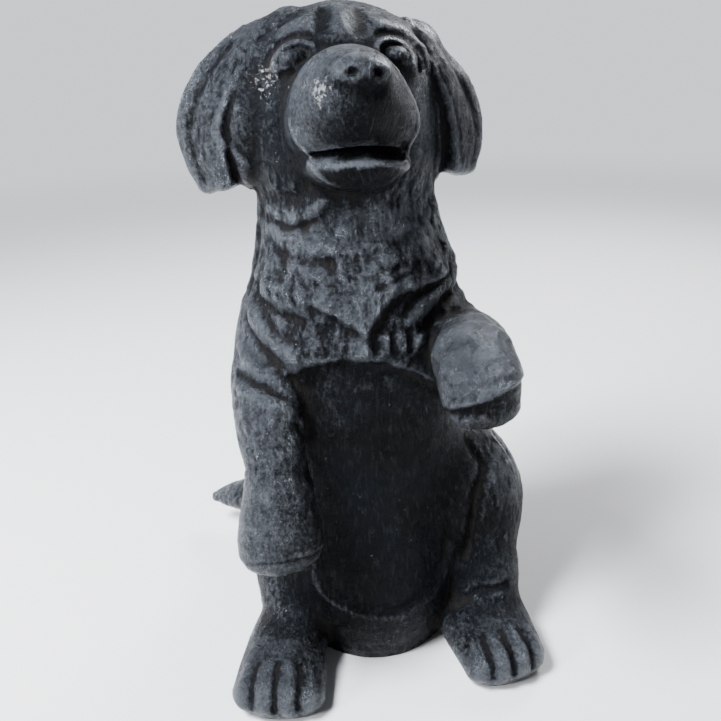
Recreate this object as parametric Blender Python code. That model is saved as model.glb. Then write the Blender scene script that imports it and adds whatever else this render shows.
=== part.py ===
"""Begging puppy statue, one hollow casting modelled as one solid.

The form is a signed distance in its own hundredths of the statue's height: x to the dog's left,
-y to its front, z up, the ground at 0. It is sampled on a grid, turned into a closed skin, cut flat
at the ground and carried to size.
"""
from itertools import product

import bmesh
import bpy
import numpy as np

HEIGHT = 0.46            # ground to crown, metres
GRID = 0.6               # side of a sampling cell, hundredths of the height
TRIANGLES = 9300         # triangles kept before the cut at the ground
BLOCK = 4                # cells a side of one coarse block
LOW = (-32.0, -36.0, -6.0)
HIGH = (32.0, 27.0, 103.0)
CUT_DEPTH = 2.5          # the body runs this far below the ground before it is cut flat
CUT_SNAP = 0.02          # corners nearer to the cut than this are moved onto it

# Stations of the swept parts: x, y, z, half width, half depth (or x, y, z, radius for round ones).
TORSO = ((1.4, -2.0, -8, 14.0, 17.5), (1.4, -1.2, 0, 16.4, 20.9), (1.4, -0.4, 8, 18.0, 22.2),
         (1.2, -0.4, 17, 18.4, 20.8), (1.2, -1.0, 27, 18.0, 18.4), (1.4, -1.4, 36, 16.8, 16.2),
         (1.0, -1.4, 45, 16.4, 14.4), (0.8, -1.2, 53, 16.8, 13.9), (0.6, -0.9, 59, 15.9, 13.4),
         (0.5, -0.6, 65, 14.7, 12.2), (0.2, -0.6, 72, 13.5, 11.0), (0, -0.2, 79, 12.8, 10.8),
         (0, 1, 86, 12, 11))
ACROSS = (1, 0, 0)       # direction of the half width of all but the ears and the mouth
END_CAP = 0.8            # how far a swept end is rounded past its last station, as a share of its depth
TAIL = ((-6, 12, 13, 5.5), (-13, 14.5, 11, 4.6), (-20, 17.5, 8.8, 3.6), (-25.0, 20.4, 7.2, 2.2),
        (-27.4, 21.8, 6.2, 1.1))
TAIL_PLACE = (-15, 16, 10)
TAIL_REACH = 20
TAIL_FILLET = 2.5

# Hind legs, left then right: haunch centre, radii and tilt; shin; foot; middle of shin and foot.
HAUNCHES = (((19.1, -1.5, 16.4), (11.4, 15.6, 15.0), (-14, 0, -8)),
            ((-11.4, -1.5, 14.5), (9.0, 16.0, 13.2), (-14, 0, 8)))
HAUNCH_REACH = 30
HAUNCH_FILLET = 6.0
SHINS = (((18.8, -11.0, 14.0, 7.4), (19.2, -14.5, 8.5, 6.8), (18.6, -17.0, 4.0, 6.2)),
         ((-13.2, -11.0, 14.0, 6.2), (-13.2, -14.5, 8.5, 5.6), (-14.0, -17.0, 4.0, 5.2)))
FEET = (((17.6, -13.5, 3.6, 7.6, 4.6), (18.3, -20.0, 3.8, 7.7, 4.8), (19.3, -28.0, 2.6, 6.9, 3.8)),
        ((-13.6, -13.5, 3.6, 5.8, 4.6), (-15.3, -19.5, 3.8, 6.6, 4.8), (-17.3, -27.6, 2.6, 7.3, 3.8)))
FOOT_CAP = 0.9
LEG_PLACES = ((15, -18, 6), (-15, -18, 6))
LEG_REACH = 24
LIMB_FILLET = 1.6        # limb to body
JOINT_FILLET = 1.5       # foot to shin, paw to arm

# Forelegs, left then right: the left is raised, the right hangs with a limp wrist.
ARMS = (((10.4, -2.0, 54.6, 6.8), (14.2, -6.0, 51.8, 6.0), (16.0, -12.0, 51.8, 5.6),
         (15.0, -18.0, 53.4, 5.6), (13.6, -22.5, 54.6, 5.2)),
        ((-10.4, -2.0, 55.5, 7.2), (-12.2, -4.0, 51.0, 6.8), (-13.8, -7.5, 47.0, 6.1),
         (-14.4, -12.5, 43.6, 5.3), (-14.3, -16.5, 39.4, 4.7), (-14.2, -19.5, 35.0, 4.7)))
PAWS = (((13.5, -23.5, 55.6, 5.3, 4.7), (13.5, -26.8, 53.4, 5.8, 4.7), (13.8, -28.5, 49.7, 5.6, 4.1)),
        ((-14.2, -19.5, 35.0, 4.9, 4.6), (-14.5, -21.6, 31.0, 6.0, 4.7), (-14.6, -22.8, 27.0, 6.3, 4.3),
         (-14.6, -23.0, 26.4, 5.9, 4.0)))
ARM_PLACES = ((13, -15, 52), (-14, -11, 42))
ARM_REACH = 34

# Toes: how many, where the last span's grooves begin, depth or height and half width of groove and back.
TOES = 4
TOE_START = 0.7
TOE_INSIDE = 0.9         # where a toe line starts, as a share of its place across the end
TOE_THIN = 0.6           # its half width there, as a share of the rest
TOE_ANGLES = (90, 50, 15)  # angles of its points over the rounded end
UPRIGHT = 0.9            # a foot or paw that points up or down by more than this has its toes along x
FOOT_GROOVE = (-0.65, 0.5)
FOOT_BACK = (0.35, 1.0)
PAW_GROOVE = (-0.4, 0.5)
PAW_BACK = (0.15, 1.0)

# Sole of the raised paw: the plane of its edge, how far the skin below is set back, and where.
SOLE_NORMAL = (-0.3, 0.19, 0.93)
SOLE_LEVEL = 39.4
SOLE_INSET = 0.55
SOLE_SLOPE = 0.1
SOLE_EDGE = 0.22
SOLE_SOFT = 0.8          # width over which the sole fades out at its reach
SOLE_PLACE = (13.6, -27.5, 52.0)
SOLE_REACH = 9.0

# Head, in its own frame: x, forward, up. The frame leans back by HEAD_PITCH degrees.
HEAD_CENTRE = (0.0, 1.0, 87.5)
HEAD_PITCH = 19.0
HEAD_FILLET = 3.0
SKULL = ((0, 1.0, -0.3), (13.4, 12.6, 11.9))
CHEEKS = ((-0.3, 0.6, -7.0), (13.5, 11.2, 9.5))
MUZZLE = ((-0.6, 5, -4.2, 7.8, 7.6), (-0.9, 10, -4.7, 7.6, 7.5), (-1.1, 15, -5.1, 7.1, 6.4))
MUZZLE_CAP = 1.42
JOWLS = ((-0.3, 6, -7.4, 8.2, 5.6), (-0.3, 11, -7.8, 8.2, 5.2), (-0.3, 15, -8.2, 7.8, 4.6))
JOWLS_CAP = 0.95
SNOUT_FILLET = 0.6       # snout to cheeks
JAW = ((0, 6, -10.6, 7.2, 4.2), (-0.2, 11, -11.5, 7.0, 3.8), (-0.3, 14.2, -12.3, 6.6, 3.2))
JAW_CAP = 1.6
JAW_FILLET = 0.8
FACE_PLACE = (0, 12, -6)
FACE_REACH = 24

# Mouth: a cut swept along the lips, its floor the ledge of the lower one.
MOUTH = ((-6.9, 15.5, -11.1, 1.4, 0.25), (-3.6, 18.0, -11.4, 1.7, 0.45), (-0.2, 18.9, -11.6, 1.8, 0.5),
         (3.4, 18.0, -12.0, 1.7, 0.45), (6.5, 15.5, -12.3, 1.4, 0.25))
MOUTH_SIDE = (0, 0.72, -0.69)
MOUTH_CAP = 1.0
MOUTH_EDGE = 0.3
NOSE = ((-0.5, 22.9, -4.0), (3.6, 2.5, 2.2), (-16, 0, 0))
NOSE_FILLET = 0.5
NOSTRILS = ((-1.9, 25.3, -4.4), (1.2, 25.3, -4.6))
NOSTRIL = (0.65, 0.8, 0.5)
NOSTRIL_EDGE = 0.25

# Eyes, right (-1) and left (1): middle of the opening. Its plane turns outward and leans back.
EYES = {-1: (-6.9, 12.4, 1.4), 1: (5.8, 12.9, 1.2)}
EYE_OUTWARD = 30
EYE_LEAN = 20
EYEBALL = (2.2, 2.0, 1.3)
EYEBALL_PLACE = (0, -1.55, 0)
EYEBALL_FILLET = 0.12
SOCKET = (2.5, 1.5, 1.5)
SOCKET_PLACE = (0, 0.9, 0.4)
SOCKET_EDGE = 0.6
BROW_BEND = 8.0          # radius of the face round the eye
# Lines round an eye: height, half width, shift outward, half length, half height, first and last degree.
LIDS = ((0.95, 0.65, 0.4, 2.9, 2.0, -24, 168), (-0.6, 0.5, 0.2, 2.3, 1.4, -20, 175),
        (0.5, 0.5, 0.2, 2.6, 1.5, 200, 340), (-0.5, 0.6, 0.9, 4.1, 3.6, -10, 120))

# Ears, left (1) and right (-1): the flap, and the mass that joins it to the head.
EARS = {1: ((6.0, -0.8, 94.8, 2.8, 2.1), (11.0, -1.0, 92.6, 3.5, 1.8), (15.2, -1.0, 88.6, 4.6, 1.6),
            (17.5, -0.6, 84.0, 5.0, 1.7), (17.8, -1.0, 80.2, 4.6, 1.9), (17.4, -1.2, 77.6, 3.6, 2.0)),
        -1: ((-7.0, -0.8, 96.4, 2.8, 2.1), (-12.8, -1.0, 93.9, 3.5, 1.8), (-17.2, -1.0, 89.3, 4.6, 1.6),
             (-19.5, -0.6, 84.2, 5.0, 1.7), (-19.2, -1.0, 80.2, 4.6, 1.9), (-18.5, -1.2, 77.2, 3.6, 2.0))}
EAR_ROOTS = {1: ((10.0, 0.3, 92.0, 5.0), (12.6, -0.2, 86.0, 5.0), (13.6, -0.2, 80.0, 4.2)),
             -1: ((-10.0, -0.4, 92.0, 5.0), (-12.8, -1.2, 86.0, 5.0), (-14.2, -1.0, 80.0, 4.2))}
EAR_SWING = 45           # degrees that the flap's front edge turns in towards the cheek
EAR_POWER = 3.5          # 2 is an ellipse, more is a flatter flap
EAR_CAP = 1.0
EAR_PLACES = {1: (17, 0, 87), -1: (-17, 0, 87)}
EAR_REACH = 20
EAR_FILLET = 0.8
# Lines down an ear: height, half width, place across the flap (-1 front edge, 1 back edge), step inward.
EAR_FOLDS = ((0.35, 0.5, -0.9, -1.2), (-0.45, 0.6, -0.9, 1.5), (0.4, 0.6, -0.9, 2.9), (-0.3, 0.8, 0.3, -1.4))

# Chest fur: two layers with lower edges, the ledge over the belly and the pointed bib above it.
LEDGE_TOP = (-2.5, 52.8)
LEDGE_FALL = 0.035
LEDGE_SOFT = 0.5
LEDGE_THICKNESS = 1.2
BIB_POINT = (0.1, 56.4)
BIB_RISE = (7.0, 6.0)    # how far the edge climbs on the right and on the left
BIB_SPREAD = (9.0, 3.6)  # how far out it has done most of that
BIB_SOFT = 0.4
BIB_THICKNESS = 0.8
LAYER_HEIGHTS = (30, 74)
LAYER_BACK = 2           # the layers end ahead of this
LAYER_TOPS = ((66, 5), (67, 3))   # where each layer fades out upward, and how softly
LAYER_FRONT = (-4.0, 3.0)         # how far back both reach, and how softly

# Folds laid on the torso: height (below zero for a groove), then angle from the front, z, half width.
FOLDS = (
    # right of the neck
    (0.7, ((-57, 73.2, 1.2), (-42, 72.6, 1.4), (-28, 73.6, 1.2), (-21, 74.7, 0.9))),
    (0.7, ((-59, 70.6, 1.0), (-41, 69.4, 1.3), (-26, 68.9, 1.4), (-18, 67.9, 1.0))),
    (-0.4, ((-50, 67.6, 0.6), (-32, 66.4, 0.7), (-17, 66.2, 0.6))),
    # knob in the middle over its hollow
    (0.6, ((12, 66.6, 1.1), (16, 66.4, 1.1))),
    (-0.5, ((10, 65.0, 0.5), (14, 64.5, 0.6), (18, 65.0, 0.5))),
    # beside the bib, and the roll over the right shoulder
    (0.8, ((-57, 62.6, 1.1), (-45, 61.2, 1.4), (-31, 60.8, 1.2))),
    (-0.45, ((-60, 60.4, 0.7), (-47, 58.9, 0.7), (-32, 58.4, 0.6))),
    (1.0, ((-65, 57.8, 1.3), (-57, 55.6, 1.6), (-47, 53.7, 1.6), (-38, 52.8, 1.2))),
    (-0.4, ((-56, 58.2, 0.7), (-46, 56.2, 0.8), (-37, 55.2, 0.7))),
    (-0.6, ((-73, 56.4, 0.7), (-62, 54.0, 0.8), (-51, 51.8, 0.8))),
    # left shoulder: two long lobes thrown down towards the raised foreleg
    (-0.5, ((57, 62.8, 0.7), (38, 62.0, 0.7), (27, 60.8, 0.7), (17, 58.8, 0.6))),
    (0.65, ((63, 61.8, 1.0), (48, 61.0, 1.3), (34, 59.8, 1.3), (22, 57.6, 0.9))),
    (-0.65, ((68, 59.4, 0.8), (50, 59.0, 0.8), (39, 58.0, 0.8), (27, 56.2, 0.7))),
    (0.55, ((69, 57.4, 1.1), (50, 57.2, 1.2), (36, 55.8, 0.9))),
    # lobes over the belly
    (0.5, ((-5, 55.6, 1.2), (-4, 54.0, 1.4))),
    (0.4, ((7, 55.6, 0.9), (7, 54.0, 1.0))),
    (0.6, ((24, 56.2, 1.2), (24, 54.4, 1.3))),
    # the crease low on the belly
    (-0.3, ((-33, 20, 0.8), (-30, 15, 0.8), (-18, 12.3, 0.8), (4, 11.1, 0.8), (25, 12.6, 0.8), (35, 17, 0.8),
            (38, 21, 0.8))),
)

# Creases between limb and body: height, then x, y, z, half width.
CREASES = (
    # right arm: the roll over it, the crack under the shoulder and the roll below
    (0.6, ((-18.4, -7.6, 53.6, 0.9), (-17.2, -10.0, 52.0, 0.9), (-14.8, -12.4, 50.6, 0.8))),
    (-0.8, ((-18.9, -10.0, 50.0, 0.7), (-16.0, -13.0, 49.6, 0.8), (-12.6, -14.8, 47.6, 0.7))),
    (0.5, ((-18.6, -12.4, 48.4, 0.8), (-15.5, -15.2, 48.0, 0.9), (-12.0, -16.2, 46.4, 0.8),
           (-10.0, -16.0, 43.6, 0.7))),
    # left haunch against the belly, and over its foot
    (-0.9, ((19.5, -9.0, 33.0, 0.8), (20.4, -10.6, 28.8, 0.9), (18.0, -14.7, 25.1, 0.9),
            (17.0, -16.4, 21.6, 0.8), (15.6, -18.0, 16.0, 0.7))),
    (-0.6, ((13.3, -20.1, 7.6, 0.7), (16.7, -20.5, 10.5, 0.8), (22.2, -20.2, 10.7, 0.8))),
)

# Lines of the face, in the head's frame: height, then x, forward, up, half width.
FACE_LINES = (
    # two dents in the forehead with the swelling between them, the brows, the fold by the left eye
    (-0.45, ((-3.0, 10.4, 8.0, 0.9), (-3.0, 11.0, 6.5, 1.3), (-3.4, 11.5, 5.0, 1.0))),
    (-0.45, ((1.9, 10.9, 7.8, 0.9), (1.8, 11.7, 6.1, 1.3), (1.5, 12.5, 4.6, 1.0))),
    (0.3, ((-0.6, 9.5, 8.4, 1.1), (-0.7, 11.5, 6.5, 1.1), (-0.8, 12.6, 4.6, 1.0))),
    (0.4, ((-8.4, 9.2, 5.6, 1.0), (-6.4, 10.0, 6.4, 1.3), (-4.6, 11.0, 5.8, 1.1))),
    (0.4, ((4.7, 11.4, 5.7, 1.0), (6.3, 10.4, 6.0, 1.2), (8.2, 9.4, 5.2, 1.0))),
    (0.45, ((5.8, 11.4, 5.4, 0.5), (8.4, 9.6, 5.0, 0.5), (10.4, 8.2, 3.4, 0.5), (11.2, 7.8, 0.8, 0.5))),
)

# Loose locks round the neck's sides and back: height, number round the body, length, depth.
LOCK_ROWS = ((74.0, 11, 4.6, 0.4), (69.5, 12, 5.0, 0.4), (65.0, 13, 5.4, 0.42))
LOCK_FREE = 68.0         # degrees to either side of the front that they leave free
LOCK_STEP = 9            # degrees from a lock's ridge to its groove
LOCK_JITTER = (0.3, 1.0, 14)  # most that a lock is shifted round, shifted up and leant
LOCK_SHARES = (0, 0.35, 0.7, 1.0)  # its points along its length
LOCK_WIDTH = (0.5, 0.9, 1.3)  # its half width: at the root, its growth, and the share where it is thin again
LOCK_SEED = 7

# A laid line's points move onto the form in this many steps, its slope measured over this length.
LAY_STEPS = 3
LAY_REACH = 0.3
LAY_LIMIT = 2.0
STEEP = 0.05             # least squared slope that a point is moved by
LINE_FADE = 3            # a line has no effect past this many half widths


def smooth_min(a, b, fillet):
    """Joins two distances with a fillet of about this width."""
    h = np.clip(0.5 + 0.5 * (b - a) / fillet, 0, 1)
    return b + (a - b) * h - fillet * h * (1 - h)


def smooth_max(a, b, fillet):
    """Cuts with a rounded edge of about this width."""
    return -smooth_min(-a, -b, fillet)


def rise(x, soft):
    """Smooth step from 0 to 1 around x = 0."""
    return 0.5 + 0.5 * np.tanh(x / soft)


def unit(v):
    """Vectors of length 1."""
    return v / np.linalg.norm(v, axis=-1, keepdims=True)


def turn(x, y, z):
    """Rotation matrix for turns of x, y and z degrees, in that order."""
    a, b, c = np.radians([x, y, z])
    rx = np.array([[1, 0, 0], [0, np.cos(a), -np.sin(a)], [0, np.sin(a), np.cos(a)]])
    ry = np.array([[np.cos(b), 0, np.sin(b)], [0, 1, 0], [-np.sin(b), 0, np.cos(b)]])
    rz = np.array([[np.cos(c), -np.sin(c), 0], [np.sin(c), np.cos(c), 0], [0, 0, 1]])
    return rz @ ry @ rx


def oval(q, radii, power=2.0):
    """Near distance to an ellipsoid round the origin, squarer sided for a power above 2."""
    share = np.abs(q / radii)
    k = np.maximum((share ** power).sum(1), 1e-12) ** (1 / power)
    slope = np.linalg.norm(share ** (power - 1) / radii, axis=1) / k ** (power - 1)
    return (k - 1) / np.maximum(slope, 1e-6)


def ball(p, centre, radii, tilt=(0, 0, 0)):
    """Distance to an ellipsoid."""
    return oval((p - np.array(centre)) @ turn(*tilt), np.array(radii, float))


def smooth_path(rows, steps):
    """Rows resampled along a smooth curve, so many steps between two of them."""
    rows = np.array(rows, float)
    ends = np.vstack([2 * rows[0] - rows[1], rows, 2 * rows[-1] - rows[-2]])
    t = (np.arange(steps) / steps)[:, None]
    spans = [b + ((c - a) * t + (2 * a - 5 * b + 4 * c - d) * t ** 2 + (3 * b - a - 3 * c + d) * t ** 3) / 2
             for a, b, c, d in zip(ends[:-3], ends[1:-2], ends[2:-1], ends[3:])]
    return np.vstack(spans + [rows[-1:]])


def nearest(p, path):
    """Nearest span of the path, the share along it and the squared distance, for each point."""
    best = np.full(len(p), np.inf)
    span = np.zeros(len(p), int)
    share = np.zeros(len(p))
    for i in range(len(path) - 1):
        a = path[i, :3]
        ab = path[i + 1, :3] - a
        q = p - a
        t = np.clip(q @ ab / (ab @ ab), 0, 1)
        d2 = ((q - t[:, None] * ab) ** 2).sum(1)
        closer = d2 < best
        best[closer] = d2[closer]
        span[closer] = i
        share[closer] = t[closer]
    return span, share, best


def tube(p, rows):
    """Distance to a round tube of changing radius."""
    path = smooth_path(rows, 3)
    span, t, d2 = nearest(p, path)
    return np.sqrt(d2) - (path[span, 3] * (1 - t) + path[span + 1, 3] * t)


def sweep(p, rows, side=ACROSS, cap=END_CAP, power=2.0):
    """Distance to a tube with an oval profile; side is the direction of its half width."""
    path = smooth_path(rows, 4)
    span, t, _ = nearest(p, path)
    a, b = path[span], path[span + 1]
    c = a + (b - a) * t[:, None]
    axis = unit(b[:, :3] - a[:, :3])
    side = np.array(side, float)
    v = unit(side - (axis @ side)[:, None] * axis)
    w = np.cross(axis, v)
    o = p - c[:, :3]
    past_end = ((span == 0) & (t <= 0)) | ((span == len(path) - 2) & (t >= 1))
    q = np.stack([(o * v).sum(1), (o * w).sum(1), (o * axis).sum(1) * past_end], 1)
    return oval(q, np.stack([c[:, 3], c[:, 4], np.minimum(c[:, 3], c[:, 4]) * cap], 1), power)


def blend_in(d, p, centre, reach, shape, fillet):
    """Joins a local shape, worked out only for the points within reach of the centre."""
    near = ((p - np.array(centre)) ** 2).sum(1) < reach ** 2
    if near.any():
        d[near] = smooth_min(d[near], shape(p[near]), fillet)
    return d


def raise_line(d, p, height, rows):
    """Raises a soft ridge along a curve, or sinks a groove when the height is below zero."""
    rows = np.array(rows, float)
    middle = (rows[:, :3].max(0) + rows[:, :3].min(0)) / 2
    reach = np.linalg.norm(rows[:, :3] - middle, axis=1).max() + LINE_FADE * rows[:, 3].max()
    near = ((p - middle) ** 2).sum(1) < reach ** 2
    if near.any():
        path = smooth_path(rows, 3)
        span, t, d2 = nearest(p[near], path)
        width = path[span, 3] * (1 - t) + path[span + 1, 3] * t
        d[near] -= height * np.exp(-d2 / width ** 2)
    return d


def settle(field, points, reach, limit):
    """Moves each point onto the skin along the slope of the field, by no more than the limit."""
    d = field(points)
    slope = np.stack([(field(points + reach * axis) - field(points - reach * axis)) / (2 * reach)
                      for axis in np.eye(3)], 1)
    move = (d / np.maximum((slope ** 2).sum(1), STEEP))[:, None] * slope
    length = np.linalg.norm(move, axis=1, keepdims=True)
    return points - move * np.minimum(1, limit / np.maximum(length, 1e-9))


def to_head(p):
    """Points carried into the head's own frame."""
    a = np.radians(HEAD_PITCH)
    q = p - np.array(HEAD_CENTRE)
    forward = -q[:, 1] * np.cos(a) + q[:, 2] * np.sin(a)
    up = q[:, 1] * np.sin(a) + q[:, 2] * np.cos(a)
    return np.stack([q[:, 0], forward, up], 1)


def from_head(row):
    """Row of the head's frame carried out of it, its half width kept."""
    a = np.radians(HEAD_PITCH)
    x, forward, up, width = row
    centre_x, centre_y, centre_z = HEAD_CENTRE
    return (centre_x + x, centre_y - forward * np.cos(a) + up * np.sin(a),
            centre_z + forward * np.sin(a) + up * np.cos(a), width)


def on_torso(angle, z):
    """Point of the torso's skin at a height, angle 0 at the front and 90 at the dog's left."""
    path = smooth_path(TORSO, 4)
    x, y, a, b = (np.interp(z, path[:, 2], path[:, i]) for i in (0, 1, 3, 4))
    s = np.radians(angle)
    return x + a * np.sin(s), y - b * np.cos(s), z


def loose_locks():
    """Curved locks round the neck, thrown a little out of line: height and rows of each."""
    rng = np.random.default_rng(LOCK_SEED)
    shift_most, rise_most, lean_most = LOCK_JITTER
    root, growth, thin = LOCK_WIDTH
    locks = []
    for z, count, length, depth in LOCK_ROWS:
        for i in range(count):
            angle = 360 * (i + rng.uniform(-shift_most, shift_most)) / count
            top = z + rng.uniform(-rise_most, rise_most)
            lean = rng.uniform(-lean_most, lean_most)
            if LOCK_FREE < angle < 360 - LOCK_FREE:
                for shift, height in ((0, depth), (LOCK_STEP, -depth)):
                    locks.append((height, [(*on_torso(angle + shift + lean * s, top - length * s),
                                            root + growth * s * (thin - s)) for s in LOCK_SHARES]))
    return locks


def eye_lines(side):
    """Lids, grooves and fold round one eye, in the head's frame: height and rows of each."""
    yaw, lean = np.radians([EYE_OUTWARD, EYE_LEAN])
    level = np.array([side * np.sin(yaw), np.cos(yaw), 0])
    along = np.array([side * np.cos(yaw), -np.sin(yaw), 0])
    out = level * np.cos(lean) + np.array([0, 0, np.sin(lean)])
    over = np.array([0, 0, np.cos(lean)]) - level * np.sin(lean)
    lines = []
    for height, width, shift, length, tall, first, last in LIDS:
        rows = []
        for t in np.radians(np.linspace(first, last, 9)):
            a, b = shift + length * np.cos(t), tall * np.sin(t)
            point = EYES[side] + along * a + over * b - out * (a * a + b * b) / (2 * BROW_BEND)
            rows.append((*point, width))
        lines.append((height, rows))
    return lines


def ear_lines(side):
    """Rolled front edge, hollow and ridge beside the cheek and fold of one ear: height and rows of each."""
    swing = np.radians(EAR_SWING)
    across = np.array([side * np.cos(swing), np.sin(swing), 0])
    inward = np.array([-side * np.cos(swing), np.sin(swing), 0])
    return [(height, [(*(np.array(row[:3]) + across * place * row[3] + inward * step), width)
                      for row in EARS[side][1:]])
            for height, width, place, step in EAR_FOLDS]


def toe_line(foot, cap, share, height, width):
    """Line over the rounded end of a foot or paw, at this share of its half width."""
    before, end = np.array(foot[-2:])
    first = before + (end - before) * TOE_START
    ahead = unit(end[:3] - before[:3])
    across = np.cross(ahead, (0, 0, 1))
    across = unit(across) if abs(ahead[2]) < UPRIGHT else np.array([1.0, 0, 0])
    top = np.cross(across, ahead)
    drop = np.sqrt(1 - share ** 2)
    start = first[:3] + across * share * first[3] * TOE_INSIDE + top * first[4] * drop
    rows = [(*start, width * TOE_THIN)]
    for t in np.radians(TOE_ANGLES):
        point = end[:3] + across * share * end[3] + top * end[4] * drop * np.sin(t)
        rows.append((*(point + ahead * cap * end[4] * drop * np.cos(t)), width))
    return height, rows


def toe_lines(foot, cap, groove, back):
    """Grooves between the toes and the toes' backs."""
    return ([toe_line(foot, cap, 1 - 2 * i / TOES, *groove) for i in range(1, TOES)]
            + [toe_line(foot, cap, 1 - (2 * i + 1) / TOES, *back) for i in range(TOES)])


def chest_fur(d, p):
    """Raises the two overlapping layers of fur on the chest."""
    near = (p[:, 2] > LAYER_HEIGHTS[0]) & (p[:, 2] < LAYER_HEIGHTS[1]) & (p[:, 1] < LAYER_BACK)
    if near.any():
        x, y, z = p[near].T
        ledge = LEDGE_TOP[1] - LEDGE_FALL * (x - LEDGE_TOP[0]) ** 2
        dx = x - BIB_POINT[0]
        tall, spread = (np.where(dx < 0, *sides) for sides in (BIB_RISE, BIB_SPREAD))
        bib = BIB_POINT[1] + tall * np.tanh(np.abs(dx) / spread)
        lower, upper = (rise(top - z, soft) for top, soft in LAYER_TOPS)
        layers = (LEDGE_THICKNESS * rise(z - ledge, LEDGE_SOFT) * lower
                  + BIB_THICKNESS * rise(z - bib, BIB_SOFT) * upper)
        d[near] -= layers * rise(LAYER_FRONT[0] - y, LAYER_FRONT[1])
    return d


def face(d, q):
    """Eyes, jaw, mouth and nose, in the head's frame."""
    for side, centre in EYES.items():
        tilt = (0, 0, -side * EYE_OUTWARD)
        d = smooth_max(d, -ball(q, np.add(centre, SOCKET_PLACE), SOCKET, tilt), SOCKET_EDGE)
        d = smooth_min(d, ball(q, np.add(centre, EYEBALL_PLACE), EYEBALL, tilt), EYEBALL_FILLET)
    d = smooth_min(d, sweep(q, JAW, cap=JAW_CAP), JAW_FILLET)
    d = smooth_max(d, -sweep(q, MOUTH, MOUTH_SIDE, MOUTH_CAP), MOUTH_EDGE)
    d = smooth_min(d, ball(q, *NOSE), NOSE_FILLET)
    for line in eye_lines(1) + eye_lines(-1):
        d = raise_line(d, q, *line)
    for place in NOSTRILS:
        d = smooth_max(d, -ball(q, place, NOSTRIL), NOSTRIL_EDGE)
    return d


def head(d, p):
    """Joins the head and its face."""
    q = to_head(p)
    bare = smooth_min(ball(q, *SKULL), ball(q, *CHEEKS), HEAD_FILLET)
    snout = smooth_min(sweep(q, MUZZLE, cap=MUZZLE_CAP), sweep(q, JOWLS, cap=JOWLS_CAP), HEAD_FILLET)
    d = smooth_min(d, smooth_min(bare, snout, SNOUT_FILLET), HEAD_FILLET)
    near = ((q - np.array(FACE_PLACE)) ** 2).sum(1) < FACE_REACH ** 2
    d[near] = face(d[near], q[near])
    return d


def ear(p, side):
    """Distance to one ear with its root."""
    swing = np.radians(EAR_SWING)
    flap = sweep(p, EARS[side], (side * np.cos(swing), np.sin(swing), 0), EAR_CAP, EAR_POWER)
    return smooth_min(flap, tube(p, EAR_ROOTS[side]), EAR_FILLET)


def sole(d, p):
    """Sets back the skin below the sharp edge of the raised paw's sole."""
    below = SOLE_LEVEL - p @ np.array(SOLE_NORMAL)
    near = rise(SOLE_REACH - np.linalg.norm(p - np.array(SOLE_PLACE), axis=1), SOLE_SOFT)
    return d + near * (SOLE_INSET + SOLE_SLOPE * np.maximum(below, 0)) * rise(below, SOLE_EDGE)


def plain(p):
    """Distance to the statue without the lines that are laid on it."""
    d = chest_fur(sweep(p, TORSO), p)
    for haunch, shin, foot, place in zip(HAUNCHES, SHINS, FEET, LEG_PLACES):
        d = blend_in(d, p, haunch[0], HAUNCH_REACH, lambda x: ball(x, *haunch), HAUNCH_FILLET)
        d = blend_in(d, p, place, LEG_REACH, lambda x: smooth_min(
            tube(x, shin), sweep(x, foot, cap=FOOT_CAP), JOINT_FILLET), LIMB_FILLET)
    d = blend_in(d, p, TAIL_PLACE, TAIL_REACH, lambda x: tube(x, TAIL), TAIL_FILLET)
    for arm, paw, place in zip(ARMS, PAWS, ARM_PLACES):
        d = blend_in(d, p, place, ARM_REACH, lambda x: smooth_min(tube(x, arm), sweep(x, paw), JOINT_FILLET),
                     LIMB_FILLET)
    d = head(d, p)
    for side, place in EAR_PLACES.items():
        d = blend_in(d, p, place, EAR_REACH, lambda x: ear(x, side), LIMB_FILLET)
    return sole(d, p)


def laid_lines():
    """All lines of the coat, the face and the limbs, moved onto the plain form: height and rows of each."""
    lines = [(height, [(*on_torso(angle, z), width) for angle, z, width in rows]) for height, rows in FOLDS]
    lines += loose_locks()
    lines += [(height, [from_head(row) for row in rows]) for height, rows in FACE_LINES]
    lines += list(CREASES) + ear_lines(1) + ear_lines(-1)
    for foot in FEET:
        lines += toe_lines(foot, FOOT_CAP, FOOT_GROOVE, FOOT_BACK)
    lines += toe_lines(PAWS[1], END_CAP, PAW_GROOVE, PAW_BACK)
    laid = []
    for height, rows in lines:
        rows = np.array(rows, float)
        for _ in range(LAY_STEPS):
            rows[:, :3] = settle(plain, rows[:, :3], LAY_REACH, LAY_LIMIT)
        laid.append((height, rows))
    return laid


LINES = laid_lines()


def dog(p):
    """Distance to the whole statue."""
    d = plain(p)
    for line in LINES:
        d = raise_line(d, p, *line)
    return np.maximum(d, -p[:, 2] - CUT_DEPTH)


def sample(field, low, high, step):
    """Field on a grid, worked out finely only near the skin. Returns the values and the first point."""
    low, high = np.array(low), np.array(high)
    coarse = step * BLOCK
    n = np.ceil((high - low) / coarse).astype(int)
    axes = [low[i] + coarse * (np.arange(n[i]) + 0.5) for i in range(3)]
    d = field(np.stack(np.meshgrid(*axes, indexing="ij"), -1).reshape(-1, 3)).reshape(n)
    values = d.repeat(BLOCK, 0).repeat(BLOCK, 1).repeat(BLOCK, 2)
    blocks = np.argwhere(np.abs(d) < coarse * 2.0)
    inner = np.stack(np.meshgrid(*[np.arange(BLOCK)] * 3, indexing="ij"), -1).reshape(-1, 3)
    cells = (blocks[:, None, :] * BLOCK + inner).reshape(-1, 3)
    points = low + step * (cells + 0.5)
    portions = np.array_split(points, len(points) // 200000 + 1)
    values[tuple(cells.T)] = np.concatenate([field(portion) for portion in portions])
    return values, low + 0.5 * step


CORNERS = np.array(list(product((0, 1), repeat=3)))


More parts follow.
